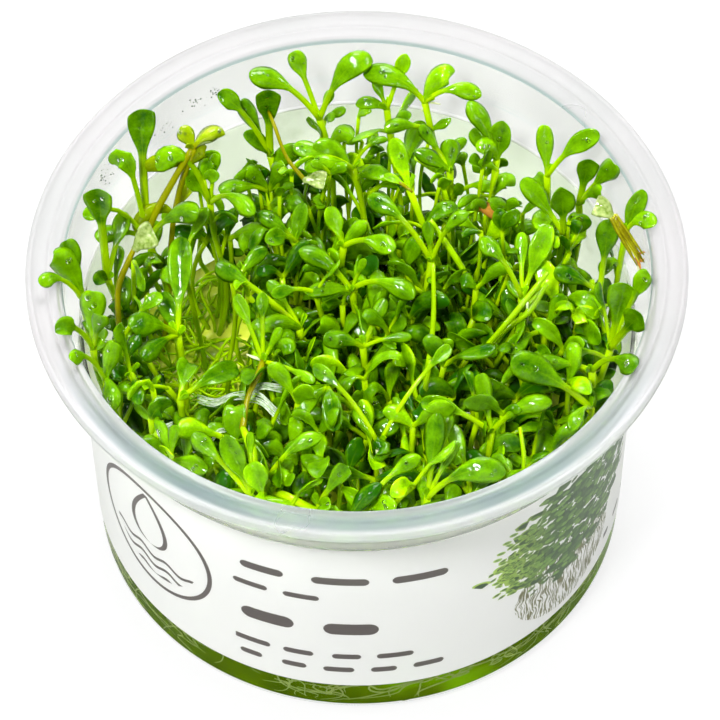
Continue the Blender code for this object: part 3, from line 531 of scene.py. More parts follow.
def leaf_material(name):
    """Wet leaf: green by each leaf's own tone, mottled, paler along the stalk, with painted light on its
    margins and painted shade in its middle.
    """
    dark, bright, stalk, young = LEAF_COLORS[name]
    tree = Tree(name)
    guide = tree.add("ShaderNodeAttribute", attribute_name="guide")
    parts = tree.add("ShaderNodeSeparateColor")
    tree.put(parts.inputs[0], guide.outputs["Color"])
    tone, along, across = parts.outputs
    patch = tree.noise(420.0, 4.0)
    film = tree.noise(1100.0)
    speck = tree.noise(3000.0)
    shade = tree.plus(tone, tree.vary(patch, -0.24, 0.26))
    # Painted light and shade: margins lighter as if lit through, the middle of the blade darker.
    shade = tree.plus(shade, tree.span(across, 0.2, 1.0, -0.08, 0.16))
    shade = tree.plus(shade, tree.vary(speck, -0.1, 0.1))
    green = tree.blend(shade, dark, bright)
    green = tree.blend(tree.span(shade, 0.85, 1.3), green, young)
    vein = tree.times(tree.span(across, 0.0, 0.1, 1.0, 0.0), tree.span(along, 0.3, 0.8, 0.3, 0.0))
    green = tree.blend(vein, green, stalk)
    green = tree.blend(tree.span(along, 0.02, 0.40, 0.95, 0.0, smooth=True), green, stalk)
    height = tree.plus(tree.times(film, 0.7), tree.times(patch, 1.2))
    fine = tree.math("MULTIPLY_ADD", speck, 0.07, height)
    tree.set(Base_Color=green, Roughness=tree.vary(patch, 0.3, 0.45), IOR=1.42, Specular_IOR_Level=0.03,
             Coat_Weight=0.58, Coat_Roughness=0.04, Normal=tree.bump(height, 0.00016, 0.6),
             Coat_Normal=tree.bump(fine, 0.00022, 0.8))
    return tree.let_through(0.28, tree.blend(0.3, green, young))


def clear_plastic(name, front, back, clear, clear_in_front, bend):
    """Clear moulded plastic with painted shade: greyer at the back, paler in front, and a painted faint line
    where the ledge turns.
    """
    tree = Tree(name)
    marks = tree.noise(60.0)
    _, y, z = tree.split(tree.place())
    # Painted shade: the colour greys towards the back.
    tint = tree.blend(tree.span(y, -0.020, 0.010, smooth=True), front, back)
    color = tree.blend(tree.vary(marks, 0.0, 0.25), tint, (0.97, 0.975, 0.96))
    # Painted shade: a thin teal-grey line painted where the ledge bends.
    turn = tree.near(z, LEDGE_LINE * MM, LEDGE_LINE_HALF * MM)
    upper = tree.span(z, 0.030, 0.045, 1.0, 0.94)
    # Less clear in front, so more of the pale colour shows there: painted light.
    clearness = tree.times(tree.span(y, -0.036, -0.012, clear_in_front, clear), upper)
    return tree.set(Base_Color=tree.blend(turn, color, (0.78, 0.84, 0.83)), Transmission_Weight=clearness,
                    IOR=bend, Roughness=tree.vary(marks, 0.02, 0.06), Normal=tree.bump(marks, 0.0003, 0.1))


def milky_plastic():
    """The flange: cloudy, with a painted dark teal line round the mouth, and painted bands of shade across
    its front.
    """
    tree = Tree("milky_plastic")
    x, y, _ = tree.split(tree.place())
    out = tree.hypot(x, y)
    marks = tree.noise(45.0, 1.0)
    cloud = tree.blend(tree.span(marks, 0.35, 0.65), (0.61, 0.615, 0.61), (0.65, 0.64, 0.645))
    # Painted shade: a teal band and a grey-to-white ramp, laid only across the front of the flange.
    painted_band = tree.times(tree.span(out, 0.0455, 0.0464, smooth=True),
                      tree.span(out, 0.0478, 0.0486, 1.0, 0.0, smooth=True))
    thick = tree.blend(tree.span(out, 0.046, 0.049), (0.62, 0.66, 0.68), (0.85, 0.86, 0.88))
    thick = tree.blend(tree.times(painted_band, tree.span(marks, 0.25, 0.75, 0.5, 1.0)), thick, (0.36, 0.45, 0.47))
    cloud = tree.blend(tree.span(y, -0.040, -0.012, 1.0, 0.0, smooth=True), cloud, thick)
    # Painted shade: the dark teal line at the mouth's edge.
    edge = tree.span(out, 0.0445, 0.04475, 1.0, 0.0)
    return tree.set(Base_Color=tree.blend(edge, cloud, (0.33, 0.46, 0.44)), Transmission_Weight=0.82,
                    IOR=1.12, Roughness=tree.vary(marks, 0.27, 0.36))


def gel_material():
    """The wet top of the nutrient gel, yellow-green, with cream patches of painted light."""
    tree = Tree("wet_gel")
    ripple = tree.noise(180.0, 3.0)
    patch = tree.noise(75.0, 3.0)
    top = tree.blend(tree.span(ripple, 0.35, 0.65), (0.46, 0.64, 0.01), (0.80, 0.88, 0.07))
    # Painted light: the cream patches stand in for light shining up through the gel.
    top = tree.blend(tree.span(patch, 0.52, 0.66), top, (0.94, 0.95, 0.20))
    return tree.set(Base_Color=top, Transmission_Weight=0.12, IOR=1.34, Specular_IOR_Level=0.25,
                    Roughness=tree.vary(ripple, 0.04, 0.15), Normal=tree.bump(ripple, 0.002, 0.6))


def gel_side_material():
    """The gel where it is pressed to the wall: painted shade, an olive copy of the gel darker than its top,
    with a brighter green cloud here and there.
    """
    tree = Tree("shaded_gel_side")
    cloud = tree.noise(70.0, 3.0)
    side = tree.blend(tree.span(cloud, 0.3, 0.6), (0.045, 0.09, 0.0), (0.09, 0.17, 0.0))
    side = tree.blend(tree.span(cloud, 0.6, 0.72), side, (0.16, 0.36, 0.0))
    return tree.set(Base_Color=side, Roughness=tree.vary(cloud, 0.5, 0.7), Specular_IOR_Level=0.0)


def drifting_material(name, scale, detail, low, high, **values):
    """A material whose colour drifts between two, with plain values in the shader's other sockets."""
    tree = Tree(name)
    return tree.set(Base_Color=tree.blend(tree.noise(scale, detail), low, high), **values)


def clear_film(name, dark, bright, clear):
    """Dead tissue and wet film: thin, pale and half clear, with fine ridges."""
    tree = Tree(name)
    ridges = tree.noise(1500.0)
    tint = tree.blend(tree.span(ridges, 0.3, 0.7), dark, bright)
    return tree.set(Base_Color=tint, Transmission_Weight=clear, IOR=1.3,
                    Roughness=tree.vary(ridges, 0.05, 0.2), Normal=tree.bump(ridges, 0.0002, 0.6))


# Meshes

class Growth:
    """Leaves, stems and threads gathered into one mesh, with a colour guide at every point."""

    def __init__(self):
        self.spots = []
        self.points = []
        self.guides = []
        self.quads = []
        self.caps = []
        self.count = 0

    def add(self, rings, *guide):
        """Join rings of points into a closed skin, with its tone and the ways along and across it."""
        steps, around, _ = rings.shape
        index = self.count + np.arange(steps * around).reshape(steps, around)
        ahead = np.roll(index, -1, axis=1)
        quads = np.stack([index[:-1], ahead[:-1], ahead[1:], index[1:]], axis=-1).reshape(-1, 4)
        self.points.append(rings.reshape(-1, 3))
        parts = [np.broadcast_to(part, (steps, around)) for part in guide]
        self.guides.append(np.stack(parts, axis=-1).reshape(-1, 3))
        self.quads.append(quads)
        self.caps.append(tuple(index[0][::-1]))
        self.caps.append(tuple(index[-1]))
        self.count += steps * around

    def make(self, name, surface):
        """The gathered mesh as one object."""
        mesh = bpy.data.meshes.new(name)
        points = np.concatenate(self.points) * MM
        faces = np.concatenate(self.quads).tolist() + self.caps
        mesh.from_pydata(points.tolist(), [], faces)
        mesh.shade_smooth()
        guide = mesh.attributes.new("guide", "FLOAT_COLOR", "POINT")
        colors = np.ones((len(points), 4), np.float32)
        colors[:, :3] = np.concatenate(self.guides)
        guide.data.foreach_set("color", colors.ravel())
        mesh.materials.append(surface)
        return link(name, mesh)


def link(name, mesh):
    """Put a mesh in the scene as a piece that rides on the cup."""
    made = bpy.data.objects.new(name, mesh)
    bpy.context.scene.collection.objects.link(made)
    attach(made, "root")
    return made


def unit(vectors):
    """Vectors of length one."""
    return vectors / np.linalg.norm(vectors, axis=-1, keepdims=True)


def along_path(path, distances):
    """Points and directions at distances along a path."""
    steps = np.linalg.norm(np.diff(path, axis=0), axis=1)
    lengths = np.concatenate(([0.0], np.cumsum(steps)))

    def at(where):
        return np.stack([np.interp(where, lengths, path[:, k]) for k in range(3)], axis=1)

    nudge = lengths[-1] * 0.01
    return at(distances), unit(at(distances + nudge) - at(distances - nudge))


def path_length(path):
    """The whole length of a path."""
    return np.linalg.norm(np.diff(path, axis=0), axis=1).sum()


def arch(start, tip, lift, steps=40):
    """Points along a leaf from its node to its tip, rising first and then arching over."""
    t = np.linspace(0.0, 1.0, steps)[:, None]
    control = start + 0.45 * (tip - start) + np.array((0.0, 0.0, 2.0 * lift))
    return (1 - t) ** 2 * start + 2 * t * (1 - t) * control + t ** 2 * tip


def frames(directions, turns):
    """Sides and normals across a path, facing the open mouth and rolled by turns in radians."""
    normals = unit(FACING - directions * (directions @ FACING)[:, None])
    swung = np.cross(directions, normals)
    normals = normals * np.cos(turns)[:, None] + swung * np.sin(turns)[:, None]
    return np.cross(directions, normals), normals


def rings_about(centre, side, normal, across, rise):
    """Rings of points about a path, each by its way across the path and its rise off it."""
    return centre[:, None, :] + side[:, None, :] * across[..., None] + normal[:, None, :] * rise[..., None]


def blade_form(share, spoon):
    """Width of a blade, as a share of its widest, from its stalk (0) to its blunt tip (1)."""
    widest, blunt = (0.84, 4.5) if spoon else (0.60, 2.2)
    rising = np.sin(np.clip(share / widest, 0.0, 1.0) * math.pi / 2.0) ** 1.6
    past = np.clip((share - widest) / (1.0 - widest), 0.0, 1.0)
    falling = np.clip(1.0 - past ** blunt, 0.0, 1.0) ** (1.0 / blunt)
    return np.where(share < widest, rising, falling), share > widest


def leaf_habit(shape, rng):
    """How one leaf grows: the length of its blade, its twist, curl, wave and droop, drawn in this order."""
    width, spoon = shape["width"], shape["spoon"]
    blade = (SPOON_RATIO if spoon else rng.uniform(*BLADE_RATIO)) * width
    twist = rng.uniform(-14.0, 14.0)
    curl = SPOON_CURL
    if not spoon:
        curl = rng.uniform(-0.8, -0.1) if rng.random() < 0.75 else rng.uniform(0.1, 0.5)
    wave = rng.uniform(0.02, 0.07) * width
    phase = rng.uniform(0.0, math.tau)
    droop = rng.uniform(0.0, 0.09) * width * (0.5 if spoon else -1.0)
    return blade, twist, curl, wave, phase, droop


def leaf_steps(length, blade, stalk_steps, blade_steps):
    """Places along a leaf, denser towards its tip: their share of the blade, and their distances."""
    share = np.sin(np.linspace(0.0, math.pi / 2.0, blade_steps + 1))
    share[-1] = 0.998
    on_stalk = np.linspace(0.0, length - blade, stalk_steps + 1)[:-1]
    distances = np.concatenate([on_stalk, length - blade + share * blade])
    return np.concatenate([np.full(stalk_steps, 0.0), share]), distances


def leaf_relief(share, u, face, half, thick, rib, curl, wave, phase):
    """How far the points of a leaf lie off its middle: curl, thickness, wavy margin and midrib."""
    flat = np.minimum(1.0, share * 3.0)[:, None]
    rise = curl * half[:, None] * u ** 2 * flat
    rise += face * thick[:, None] * np.sqrt(np.clip(1.0 - (0.96 * u) ** 2, 0.0, 1.0))
    rise += wave * np.sin(share * 9.0 + phase)[:, None] * u ** 2 * np.sign(u) * flat
    rise -= rib[:, None] * (face > 0) * np.exp(-(u / 0.2) ** 2)
    return rise


def add_leaf(growth, start, shape, tone, rng, fine=True):
    """One leaf: a round stalk that flattens into a blade with a midrib, bent and curled a little."""
    path = arch(start, shape["tip"], shape["lift"])
    length = path_length(path)
    width, spoon = shape["width"], shape["spoon"]
    blade, twist, curl, wave, phase, droop = leaf_habit(shape, rng)
    blade = min(blade, length - LEAST_STALK)
    stalk = 0.2 + (0.1 if spoon else 0.07) * width
    stalk_steps, blade_steps = FINE_STEPS if fine else COARSE_STEPS
    share, distances = leaf_steps(length, blade, stalk_steps, blade_steps)
    centre, direction = along_path(path, distances)
    side, normal = frames(direction, np.radians(shape["turn"] + twist * share))
    form, past_widest = blade_form(share, spoon)
    on_tip = np.clip((share - 0.6) / 0.4, 0.0, 1.0)
    half = np.where(past_widest, width / 2.0 * form, stalk + (width / 2.0 - stalk) * form)
    thick = stalk * 0.8 + (LEAF_HALF_THICKNESS - stalk * 0.8) * np.clip(share * 4.0, 0.0, 1.0)
    thick = thick * (1.0 - 0.55 * on_tip ** 2)
    rib = MIDRIB_DEPTH * width * form * (1.0 - on_tip) * (share > 0.0)
    across = np.array(FINE_ACROSS if fine else COARSE_ACROSS)
    u = np.concatenate([across, across[-2:0:-1]])
    face = np.concatenate([np.ones(len(across)), -np.ones(len(across) - 2)])
    rise = leaf_relief(share, u, face, half, thick, rib, curl, wave, phase) + (droop * share ** 2)[:, None]
    rings = rings_about(centre, side, normal, half[:, None] * u, rise)
    along = np.where(share > 0.0, 0.3 + 0.7 * share, 0.25 * distances / max(length - blade, 0.1))
    growth.add(rings, tone, along[:, None], np.abs(u))
    middle = stalk_steps + blade_steps // 2
    growth.spots.append((rings[middle, len(across) // 2], side[middle], normal[middle], half[middle]))


def add_tube(growth, path, radii, tone, sides=7, steps=9, along=0.1):
    """A round stem or thread along a path, with a radius at each of its even steps."""
    distances = np.linspace(0.0, path_length(path), steps)
    centre, direction = along_path(path, distances)
    side, normal = frames(direction, np.zeros(steps))
    turn = np.arange(sides) * math.tau / sides
    radius = np.interp(np.linspace(0.0, 1.0, steps), np.linspace(0.0, 1.0, len(radii)), radii)
    radius = radius[:, None]
    rings = rings_about(centre, side, normal, radius * np.cos(turn), radius * np.sin(turn))
    growth.add(rings[:, ::-1], tone, along, 0.5 + 0.5 * np.cos(3.0 * turn))


def bent_path(start, end, bend, rng, steps=24):
    """A stem's path: a gentle double bend between two points."""
    t = np.linspace(0.0, 1.0, steps)[:, None]
    sway = rng.normal(0.0, bend, 3) * np.array((1.0, 1.0, 0.15))
    wander = rng.normal(0.0, bend * 0.4, 3) * np.array((1.0, 1.0, 0.1))
    return start + t * (end - start) + np.sin(math.pi * t) * sway + np.sin(2 * math.pi * t) * wander


def in_image(point):
    """Where a point lands in the camera's square view, in pixels."""
    x, y, z = point
    up = math.sin(CAMERA_ELEVATION) * y + math.cos(CAMERA_ELEVATION) * (z - CAMERA_TARGET.z)
    near = -math.cos(CAMERA_ELEVATION) * y + math.sin(CAMERA_ELEVATION) * (z - CAMERA_TARGET.z)
    scale = CAMERA_SCALE / (CAMERA_DISTANCE - near)
    return IMAGE_SIZE / 2.0 + (x - CAMERA_TARGET.x) * scale, IMAGE_SIZE / 2.0 - up * scale


def lathe(name, profile, surface, closed=False):
    """A skin turned about Z from points (radius, height)."""
    turns = np.arange(TURN_STEPS) * math.tau / TURN_STEPS
    points = []
    rows = []
    for radius, height in profile:
        if radius == 0.0:
            rows.append([len(points)] * TURN_STEPS)
            points.append((0.0, 0.0, height * MM))
            continue
        rows.append(list(range(len(points), len(points) + TURN_STEPS)))
        points.extend((radius * MM * math.sin(a), -radius * MM * math.cos(a), height * MM) for a in turns)
    pairs = list(zip(rows, rows[1:])) + ([(rows[-1], rows[0])] if closed else [])
    faces = []
    for low, high in pairs:
        for i in range(TURN_STEPS):
            j = (i + 1) % TURN_STEPS
            faces.append(list(dict.fromkeys((low[i], low[j], high[j], high[i]))))
    mesh = bpy.data.meshes.new(name)
    mesh.from_pydata(points, [], faces)
    mesh.shade_smooth()
    turn_outward(mesh)
    mesh.set_sharp_from_angle(angle=math.radians(50.0))
    mesh.materials.append(surface)
    return link(name, mesh)


def turn_outward(mesh):
    """Point every face of a closed mesh outward, which clear materials depend on."""
    shape = bmesh.new()
    shape.from_mesh(mesh)
    bmesh.ops.recalc_face_normals(shape, faces=shape.faces[:])
    shape.to_mesh(mesh)
    shape.free()


def arc(centre, radius, start, end, steps=6):
    """Points of a round corner in a profile, between two angles in degrees."""
    angles = np.radians(np.linspace(start, end, steps))
    return [(centre[0] + radius * math.cos(a), centre[1] + radius * math.sin(a)) for a in angles]


def body_radius(z):
    """Outer radius of the tapered body at height z."""
    share = (z - BODY_FOOT) / (LEDGE_FOOT - BODY_FOOT)
    return BODY_FOOT_RADIUS + (BODY_TOP_RADIUS - BODY_FOOT_RADIUS) * share


# The cup, its label and its gel

def cup_inside():
    """The cup's inside, from the middle of its floor up to its mouth."""
    foot = body_radius(BODY_FOOT) - WALL
    inside = [(0.0, FLOOR)]
    inside += arc((foot - FOOT_ROUND, FLOOR + FOOT_ROUND), FOOT_ROUND, -90.0, 0.0, 8)
    inside += [(body_radius(BODY_MIDDLE) - WALL, BODY_MIDDLE)]
    inside += arc((BODY_TOP_RADIUS - WALL + LEDGE_ROUND, LEDGE_FOOT - 0.4), LEDGE_ROUND, 180.0, 120.0, 4)
    return inside + [(MOUTH_RADIUS - 0.35, LEDGE_TOP - 0.5), (MOUTH_RADIUS, LEDGE_TOP + 0.1)]


def flange_profile():
    """The ridged flange: over its top from the mouth to the rim, and back under it to the collar."""
    collar = MOUTH_RADIUS + WALL
    top = [(MOUTH_RADIUS, CUP_HEIGHT - 1.5)]
    top += arc((MOUTH_RADIUS + LIP_ROUND, CUP_HEIGHT - 1.5), LIP_ROUND, 180.0, 100.0, 6)
    top += arc((RIDGE_RADIUS, CUP_HEIGHT - 0.75), RIDGE_ROUND, 150.0, 20.0, 6)
    top += [(VALLEY[0], CUP_HEIGHT - 0.72), (VALLEY[1], CUP_HEIGHT - 0.7)]
    top += arc((BEAD_RADIUS, CUP_HEIGHT - BEAD_ROUND), BEAD_ROUND, 160.0, 20.0, 7)
    top += arc((RIM_RADIUS - EDGE_ROUND, CUP_HEIGHT - 0.75), EDGE_ROUND, 45.0, 0.0, 4)
    under = [(RIM_RADIUS, CUP_HEIGHT - 1.2), (RIM_RADIUS - 0.5, CUP_HEIGHT - 1.3)]
    under += [(RIM_RADIUS - 0.9, CUP_HEIGHT - 1.15), (UNDER_EDGE, CUP_HEIGHT - 1.3)]
    under += arc((collar + COLLAR_ROUND, CUP_HEIGHT - 2.6), COLLAR_ROUND, 85.0, 175.0, 6)
    return top + under


def foot_ring(lift):
    """The foot's hollow, from its ring to the middle, raised by a lift."""
    return [(FOOT_RING_INNER + lift, lift), (FOOT_RING_INNER - 0.5, FOOT_RING_HEIGHT + lift),
            (0.0, FOOT_RING_HEIGHT + lift)]


def cup_outside():
    """The cup's outside, from the collar down to the middle of its foot."""
    collar = MOUTH_RADIUS + WALL
    outside = [(collar, LEDGE_TOP + 0.2), (collar - 0.2, LEDGE_TOP - 0.5)]
    outside += [(BODY_TOP_RADIUS + 0.15, LEDGE_FOOT + 0.2), (BODY_TOP_RADIUS, LEDGE_FOOT - 0.4)]
    outside += [(body_radius(BODY_MIDDLE), BODY_MIDDLE), (BODY_FOOT_RADIUS, BODY_FOOT)]
    outside += arc((BODY_FOOT_RADIUS - FOOT_ROUND, FOOT_ROUND), FOOT_ROUND, 0.0, -90.0, 7)
    return outside + foot_ring(0.0)


def make_cup(clear, collar, milky):
    """The moulded cup: foot ring, tapered body, ledge, collar and the ridged flange."""
    cup = lathe("clear_cup", cup_inside() + flange_profile() + cup_outside(), clear)
    cup.data.materials.append(collar)
    cup.data.materials.append(milky)
    for face in cup.data.polygons:
        height = face.center.z / MM
        face.material_index = 2 if height > CUP_HEIGHT - FLANGE_DEPTH else 1 if height > LEDGE_FOOT else 0
    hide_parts("cup")


def make_label(film):
    """The wrap label: one thin film right round the body."""
    low = body_radius(LABEL_LOW) + LABEL_LIFT
    high = body_radius(LABEL_HIGH) + LABEL_LIFT
    middle = (LABEL_LOW + LABEL_HIGH) / 2.0
    profile = [
        (high, LABEL_HIGH), (high + LABEL_FILM, LABEL_HIGH), ((high + low) / 2.0 + LABEL_FILM, middle),
        (low + LABEL_FILM, LABEL_LOW), (low, LABEL_LOW), ((high + low) / 2.0, middle),
    ]
    label = lathe("wrap_label", profile, film, closed=True)
    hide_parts("label")


def make_gel(jelly, pressed):
    """The nutrient gel, level and wet, pressed to the wall so closely that no air shows between them."""
    edge = body_radius(GEL_TOP) - WET_DEPTH
    profile = [(0.0, GEL_TOP), (edge - 3.5, GEL_TOP), (edge - 1.5, GEL_TOP + 0.3)]
    profile += [(edge, GEL_TOP + GEL_MENISCUS), (BODY_FOOT_RADIUS - WET_DEPTH, BODY_FOOT)]
    profile += arc((BODY_FOOT_RADIUS - FOOT_ROUND, FOOT_ROUND), FOOT_ROUND - WET_DEPTH, 0.0, -90.0, 7)
    gel = lathe("wet_gel", profile + foot_ring(WET_DEPTH), jelly)
    gel.data.materials.append(pressed)
    # The sides and bottom take the darker gel material, which is painted shade.
    for face in gel.data.polygons:
        face.material_index = int(face.center.z < (GEL_TOP - 0.1) * MM or face.normal.z < 0.1)
    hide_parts("nutrient_gel")


def label_material():
    """Off-white film with a plain print: rows of pills, a drop in a ring, and a clump of green ovals."""
    tree = Tree("printed_film")
    place = tree.add("ShaderNodeTexCoord")
    x, y, z = tree.split(place.outputs["Object"])
    facing = tree.add("ShaderNodeVectorMath", operation="DOT_PRODUCT")
    tree.put(facing.inputs[0], place.outputs["Normal"])
    tree.put(facing.inputs[1], place.outputs["Object"])
    outer = tree.above(facing.outputs["Value"], 0.0)
    along = tree.times(tree.math("ARCTAN2", x, tree.times(y, -1.0)), LABEL_RADIUS)
    up = tree.times(z, 1.0 / MM)
    ink = tree.most(print_rows(tree, along, up), print_emblem(tree, along, up))
    printed = tree.blend(ink, (0.865, 0.86, 0.87), (0.095, 0.075, 0.075))
    roots, leaves, leaf_color = print_clump(tree, along, up)
    printed = tree.blend(roots, printed, (0.17, 0.17, 0.06))
    printed = tree.blend(leaves, printed, leaf_color)
    seam = tree.near(along, SEAM_AT, 0.25)
    printed = tree.blend(tree.times(seam, 0.4), printed, (0.5, 0.5, 0.5))
    # Painted light and shade on the inner face: a pale green cast and dark green blotches of painted shadow
    # from the plants.
    painted_shadows = tree.span(tree.noise(240.0, 4.0), 0.56, 0.72, 0.0, 0.5)
    film = tree.blend(outer, tree.blend(painted_shadows, (0.90, 0.95, 0.84), (0.55, 0.64, 0.42)), printed)
    grain = tree.noise(1800.0)
    tree.set(Base_Color=film, Roughness=tree.vary(grain, 0.28, 0.36),
             Normal=tree.bump(tree.plus(grain, seam), 0.00003, 0.5))
    glow = tree.blend(0.5, film, (0.95, 0.98, 0.90))
    return tree.let_through(tree.math("MULTIPLY_ADD", outer, -0.4, 0.82), glow)


def print_rows(tree, along, up):
    """Rows of plain round-ended pills of uneven length."""
    total, number, pitch, thick, off = 0.0, 0.0, 1.0, 0.0, 0.0
    for index, (height, half, start, end, width) in enumerate(ROWS):
        within = tree.near(along, (start + end) / 2.0, (end - start) / 2.0)
        row = tree.times(tree.near(up, height, half), within)
        total = tree.plus(total, row)
        number = tree.math("MULTIPLY_ADD", row, index + 1.0, number)
        pitch = tree.math("MULTIPLY_ADD", row, width - 1.0, pitch)
        thick = tree.math("MULTIPLY_ADD", row, half, thick)
        off = tree.math("MULTIPLY_ADD", row, tree.minus(up, height), off)
    step = tree.math("DIVIDE", tree.plus(along, ROWS_SHIFT), pitch)
    chance = tree.add("ShaderNodeTexWhiteNoise", noise_dimensions="2D")
    tree.put(chance.inputs["Vector"], tree.join(tree.math("FLOOR", step), number))
    centred = tree.times(tree.minus(tree.math("FRACT", step), 0.5), pitch)
    reach = tree.times(pitch, tree.math("MULTIPLY_ADD", chance.outputs["Value"], 0.16, 0.27))
    past = tree.most(tree.minus(tree.math("ABSOLUTE", centred), tree.minus(reach, thick)), 0.0)
    return tree.times(total, tree.below(tree.hypot(past, off), tree.times(thick, 0.9)))


def print_emblem(tree, along, up):
    """A drop over waves, inside a plain ring."""
    out = tree.distance(along, up, EMBLEM_AT)
    ring = tree.near(out, EMBLEM_RADIUS, EMBLEM_LINE)
    foot = EMBLEM_AT[1] - DROP_HEIGHT * 0.15
    t = tree.span(up, foot, foot + DROP_HEIGHT)
    width = tree.times(tree.math("SQRT", t), tree.minus(1.0, t), DROP_WIDTH)
    off = tree.minus(tree.math("ABSOLUTE", tree.minus(along, EMBLEM_AT[0])), width)
    upright = tree.near(up, foot + DROP_HEIGHT / 2.0, DROP_HEIGHT / 2.0)
    ink = tree.most(ring, tree.times(upright, tree.near(off, 0.0, EMBLEM_LINE * 1.1)))
    level = tree.minus(up, tree.times(tree.math("SINE", tree.times(along, 1.1)), 0.55))
    inside = tree.below(out, EMBLEM_RADIUS * 0.8)
    for wave in WAVES:
        line = tree.near(level, EMBLEM_AT[1] + wave, EMBLEM_LINE * 0.9)
        ink = tree.most(ink, tree.times(inside, line))
    return ink


def print_clump(tree, along, up):
    """A rounded clump of small green ovals with brown threads under it."""
    leaves = 0.0
    color = (0.03, 0.09, 0.02)
    left = CLUMP_AT[0] - CLUMP_SIZE[0]
    sunny = tree.span(along, left, CLUMP_AT[0] - 0.3 * CLUMP_SIZE[0], 1.0, 0.0)
    for layer in OVALS:
        oval, green = print_ovals(tree, along, up, sunny, *layer)
        color = tree.blend(oval, color, green)
        leaves = tree.most(leaves, oval)
    sway = tree.times(tree.noise(260.0, 1.0), 2.5)
    threads = tree.add("ShaderNodeTexNoise", noise_dimensions="2D")
    threads.inputs["Scale"].default_value = 3.4
    tree.put(threads.inputs["Vector"], tree.join(tree.plus(along, sway), tree.times(up, 0.08)))
    low = tree.below(tree.distance(along, up, ROOTS_AT, ROOTS_SIZE), 1.0)
    return tree.times(low, tree.above(threads.outputs["Fac"], 0.51)), leaves, color


def print_ovals(tree, along, up, sunny, density, lean, reach, dark, bright):
    """One layer of leaning ovals inside the clump, bright-rimmed on its sunny side: mask and colour."""
    cells = tree.add("ShaderNodeTexVoronoi", voronoi_dimensions="2D")
    cells.inputs["Scale"].default_value = density
    leaning = tree.math("MULTIPLY_ADD", up, lean, tree.times(along, OVAL_SQUEEZE))
    tree.put(cells.inputs["Vector"], tree.join(leaning, up))
    middle_x, middle_y, _ = tree.split(cells.outputs["Position"])
    middle_x = tree.minus(middle_x, tree.times(middle_y, lean))
    out = tree.distance(tree.math("DIVIDE", middle_x, OVAL_SQUEEZE), middle_y, CLUMP_AT, CLUMP_SIZE)
    wobble, pick, _ = tree.split(cells.outputs["Color"])
    inside = tree.below(tree.plus(out, tree.times(wobble, 0.35)), 1.15)
    oval = tree.times(tree.below(cells.outputs["Distance"], reach), inside)
    rim = tree.times(tree.above(cells.outputs["Distance"], reach * 0.62), sunny)
    return oval, tree.blend(rim, tree.blend(pick, dark, bright), (0.42, 0.62, 0.08))


# Growth

def own_tone(tone, low, high, least, rng):
    """One leaf's own tone, a little off that of its plantlet."""
    return float(np.clip(tone + rng.uniform(low, high), least, 1.0))


def plantlet_tone(crown, rng):
    """How bright a plantlet is: more so the higher it forks, and in front, where the added brightness is
    painted light.
    """
    front_painted_light = min(1.0, max(0.0, (-10.0 - crown[1]) / 15.0))
    return 0.3 + 0.28 * (crown[2] - 42.0) / 16.0 + 0.1 * front_painted_light + rng.uniform(-0.1, 0.12)


def make_plantlets(surface, aged):
    """Every packed plantlet again, with fine leaves, a bent stem and buds; gives back where drops can lie."""
    spots = []
    radii = (STEM_RADIUS, STEM_RADIUS, STEM_RADIUS * 0.95, STEM_RADIUS * 1.25)
    for number, (name, (foot, crown, leaves)) in enumerate(PLANTLETS.items()):
        rng = np.random.default_rng(SEED * 1000 + number)
        growth = Growth()
        crown = np.array(crown, float)
        base = np.array((foot[0], foot[1], GEL_TOP - 1.0))
        tone = plantlet_tone(crown, rng)
        stem = bent_path(base, crown, 0.9, rng)
        add_tube(growth, stem, radii, tone, 8, 12)
        for row in leaves:
            add_leaf(growth, crown, leaf(*row), own_tone(tone, -0.16, 0.22, 0.02, rng), rng)
        # Lower leaf pairs take a lower tone: painted shade.
        for low, high, shade_below in ((0.55, 0.72, 0.15), (0.76, 0.9, 0.05)):
            add_side_leaves(growth, stem[int(len(stem) * rng.uniform(low, high))], tone - shade_below, rng)
        for _ in range(2):
            tip = crown + np.array((rng.uniform(-1.4, 1.4), rng.uniform(-1.0, 1.4), rng.uniform(1.2, 2.4)))
            bud = leaf(*tip, 0.1, 1.1, SPOON, rng.uniform(-60, 60))
            add_leaf(growth, crown, bud, 0.75, rng, fine=False)
        old = name == "brown_tall"
        made = growth.make("fine_" + name, aged if old else surface)
        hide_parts("plantlet_" + name)
        spots += growth.spots
    return spots


def canopy(x, y):
    """Height that the low growth reaches at one place: full in front and lower towards the back."""
    back = min(1.0, max(0.0, (y - CANOPY_BACK_START) / CANOPY_BACK_DEPTH))
    drop = CANOPY_BACK_DROP * back * back * (3.0 - 2.0 * back)
    return CANOPY_TOP - drop + CANOPY_EDGE_RISE * math.hypot(x, y)


def held_in(point, margin):
    """The same point, moved in where it would touch the wall of the cup."""
    wall = MOUTH_RADIUS if point[2] > LEDGE_TOP else body_radius(point[2]) - WALL
    share = min(1.0, (wall - margin) / math.hypot(point[0], point[1]))
    return np.array((point[0] * share, point[1] * share, point[2]))


def covers_gap(point):
    """Whether a point hides the gap at the left, where the camera sees down to the gel."""
    px, py = in_image(point)
    across = (px - GAP_IN_IMAGE[0]) / GAP_HALF_SIZE[0]
    down = (py - GAP_IN_IMAGE[1]) / GAP_HALF_SIZE[1]
    return across ** 2 + down ** 2 < 1.0


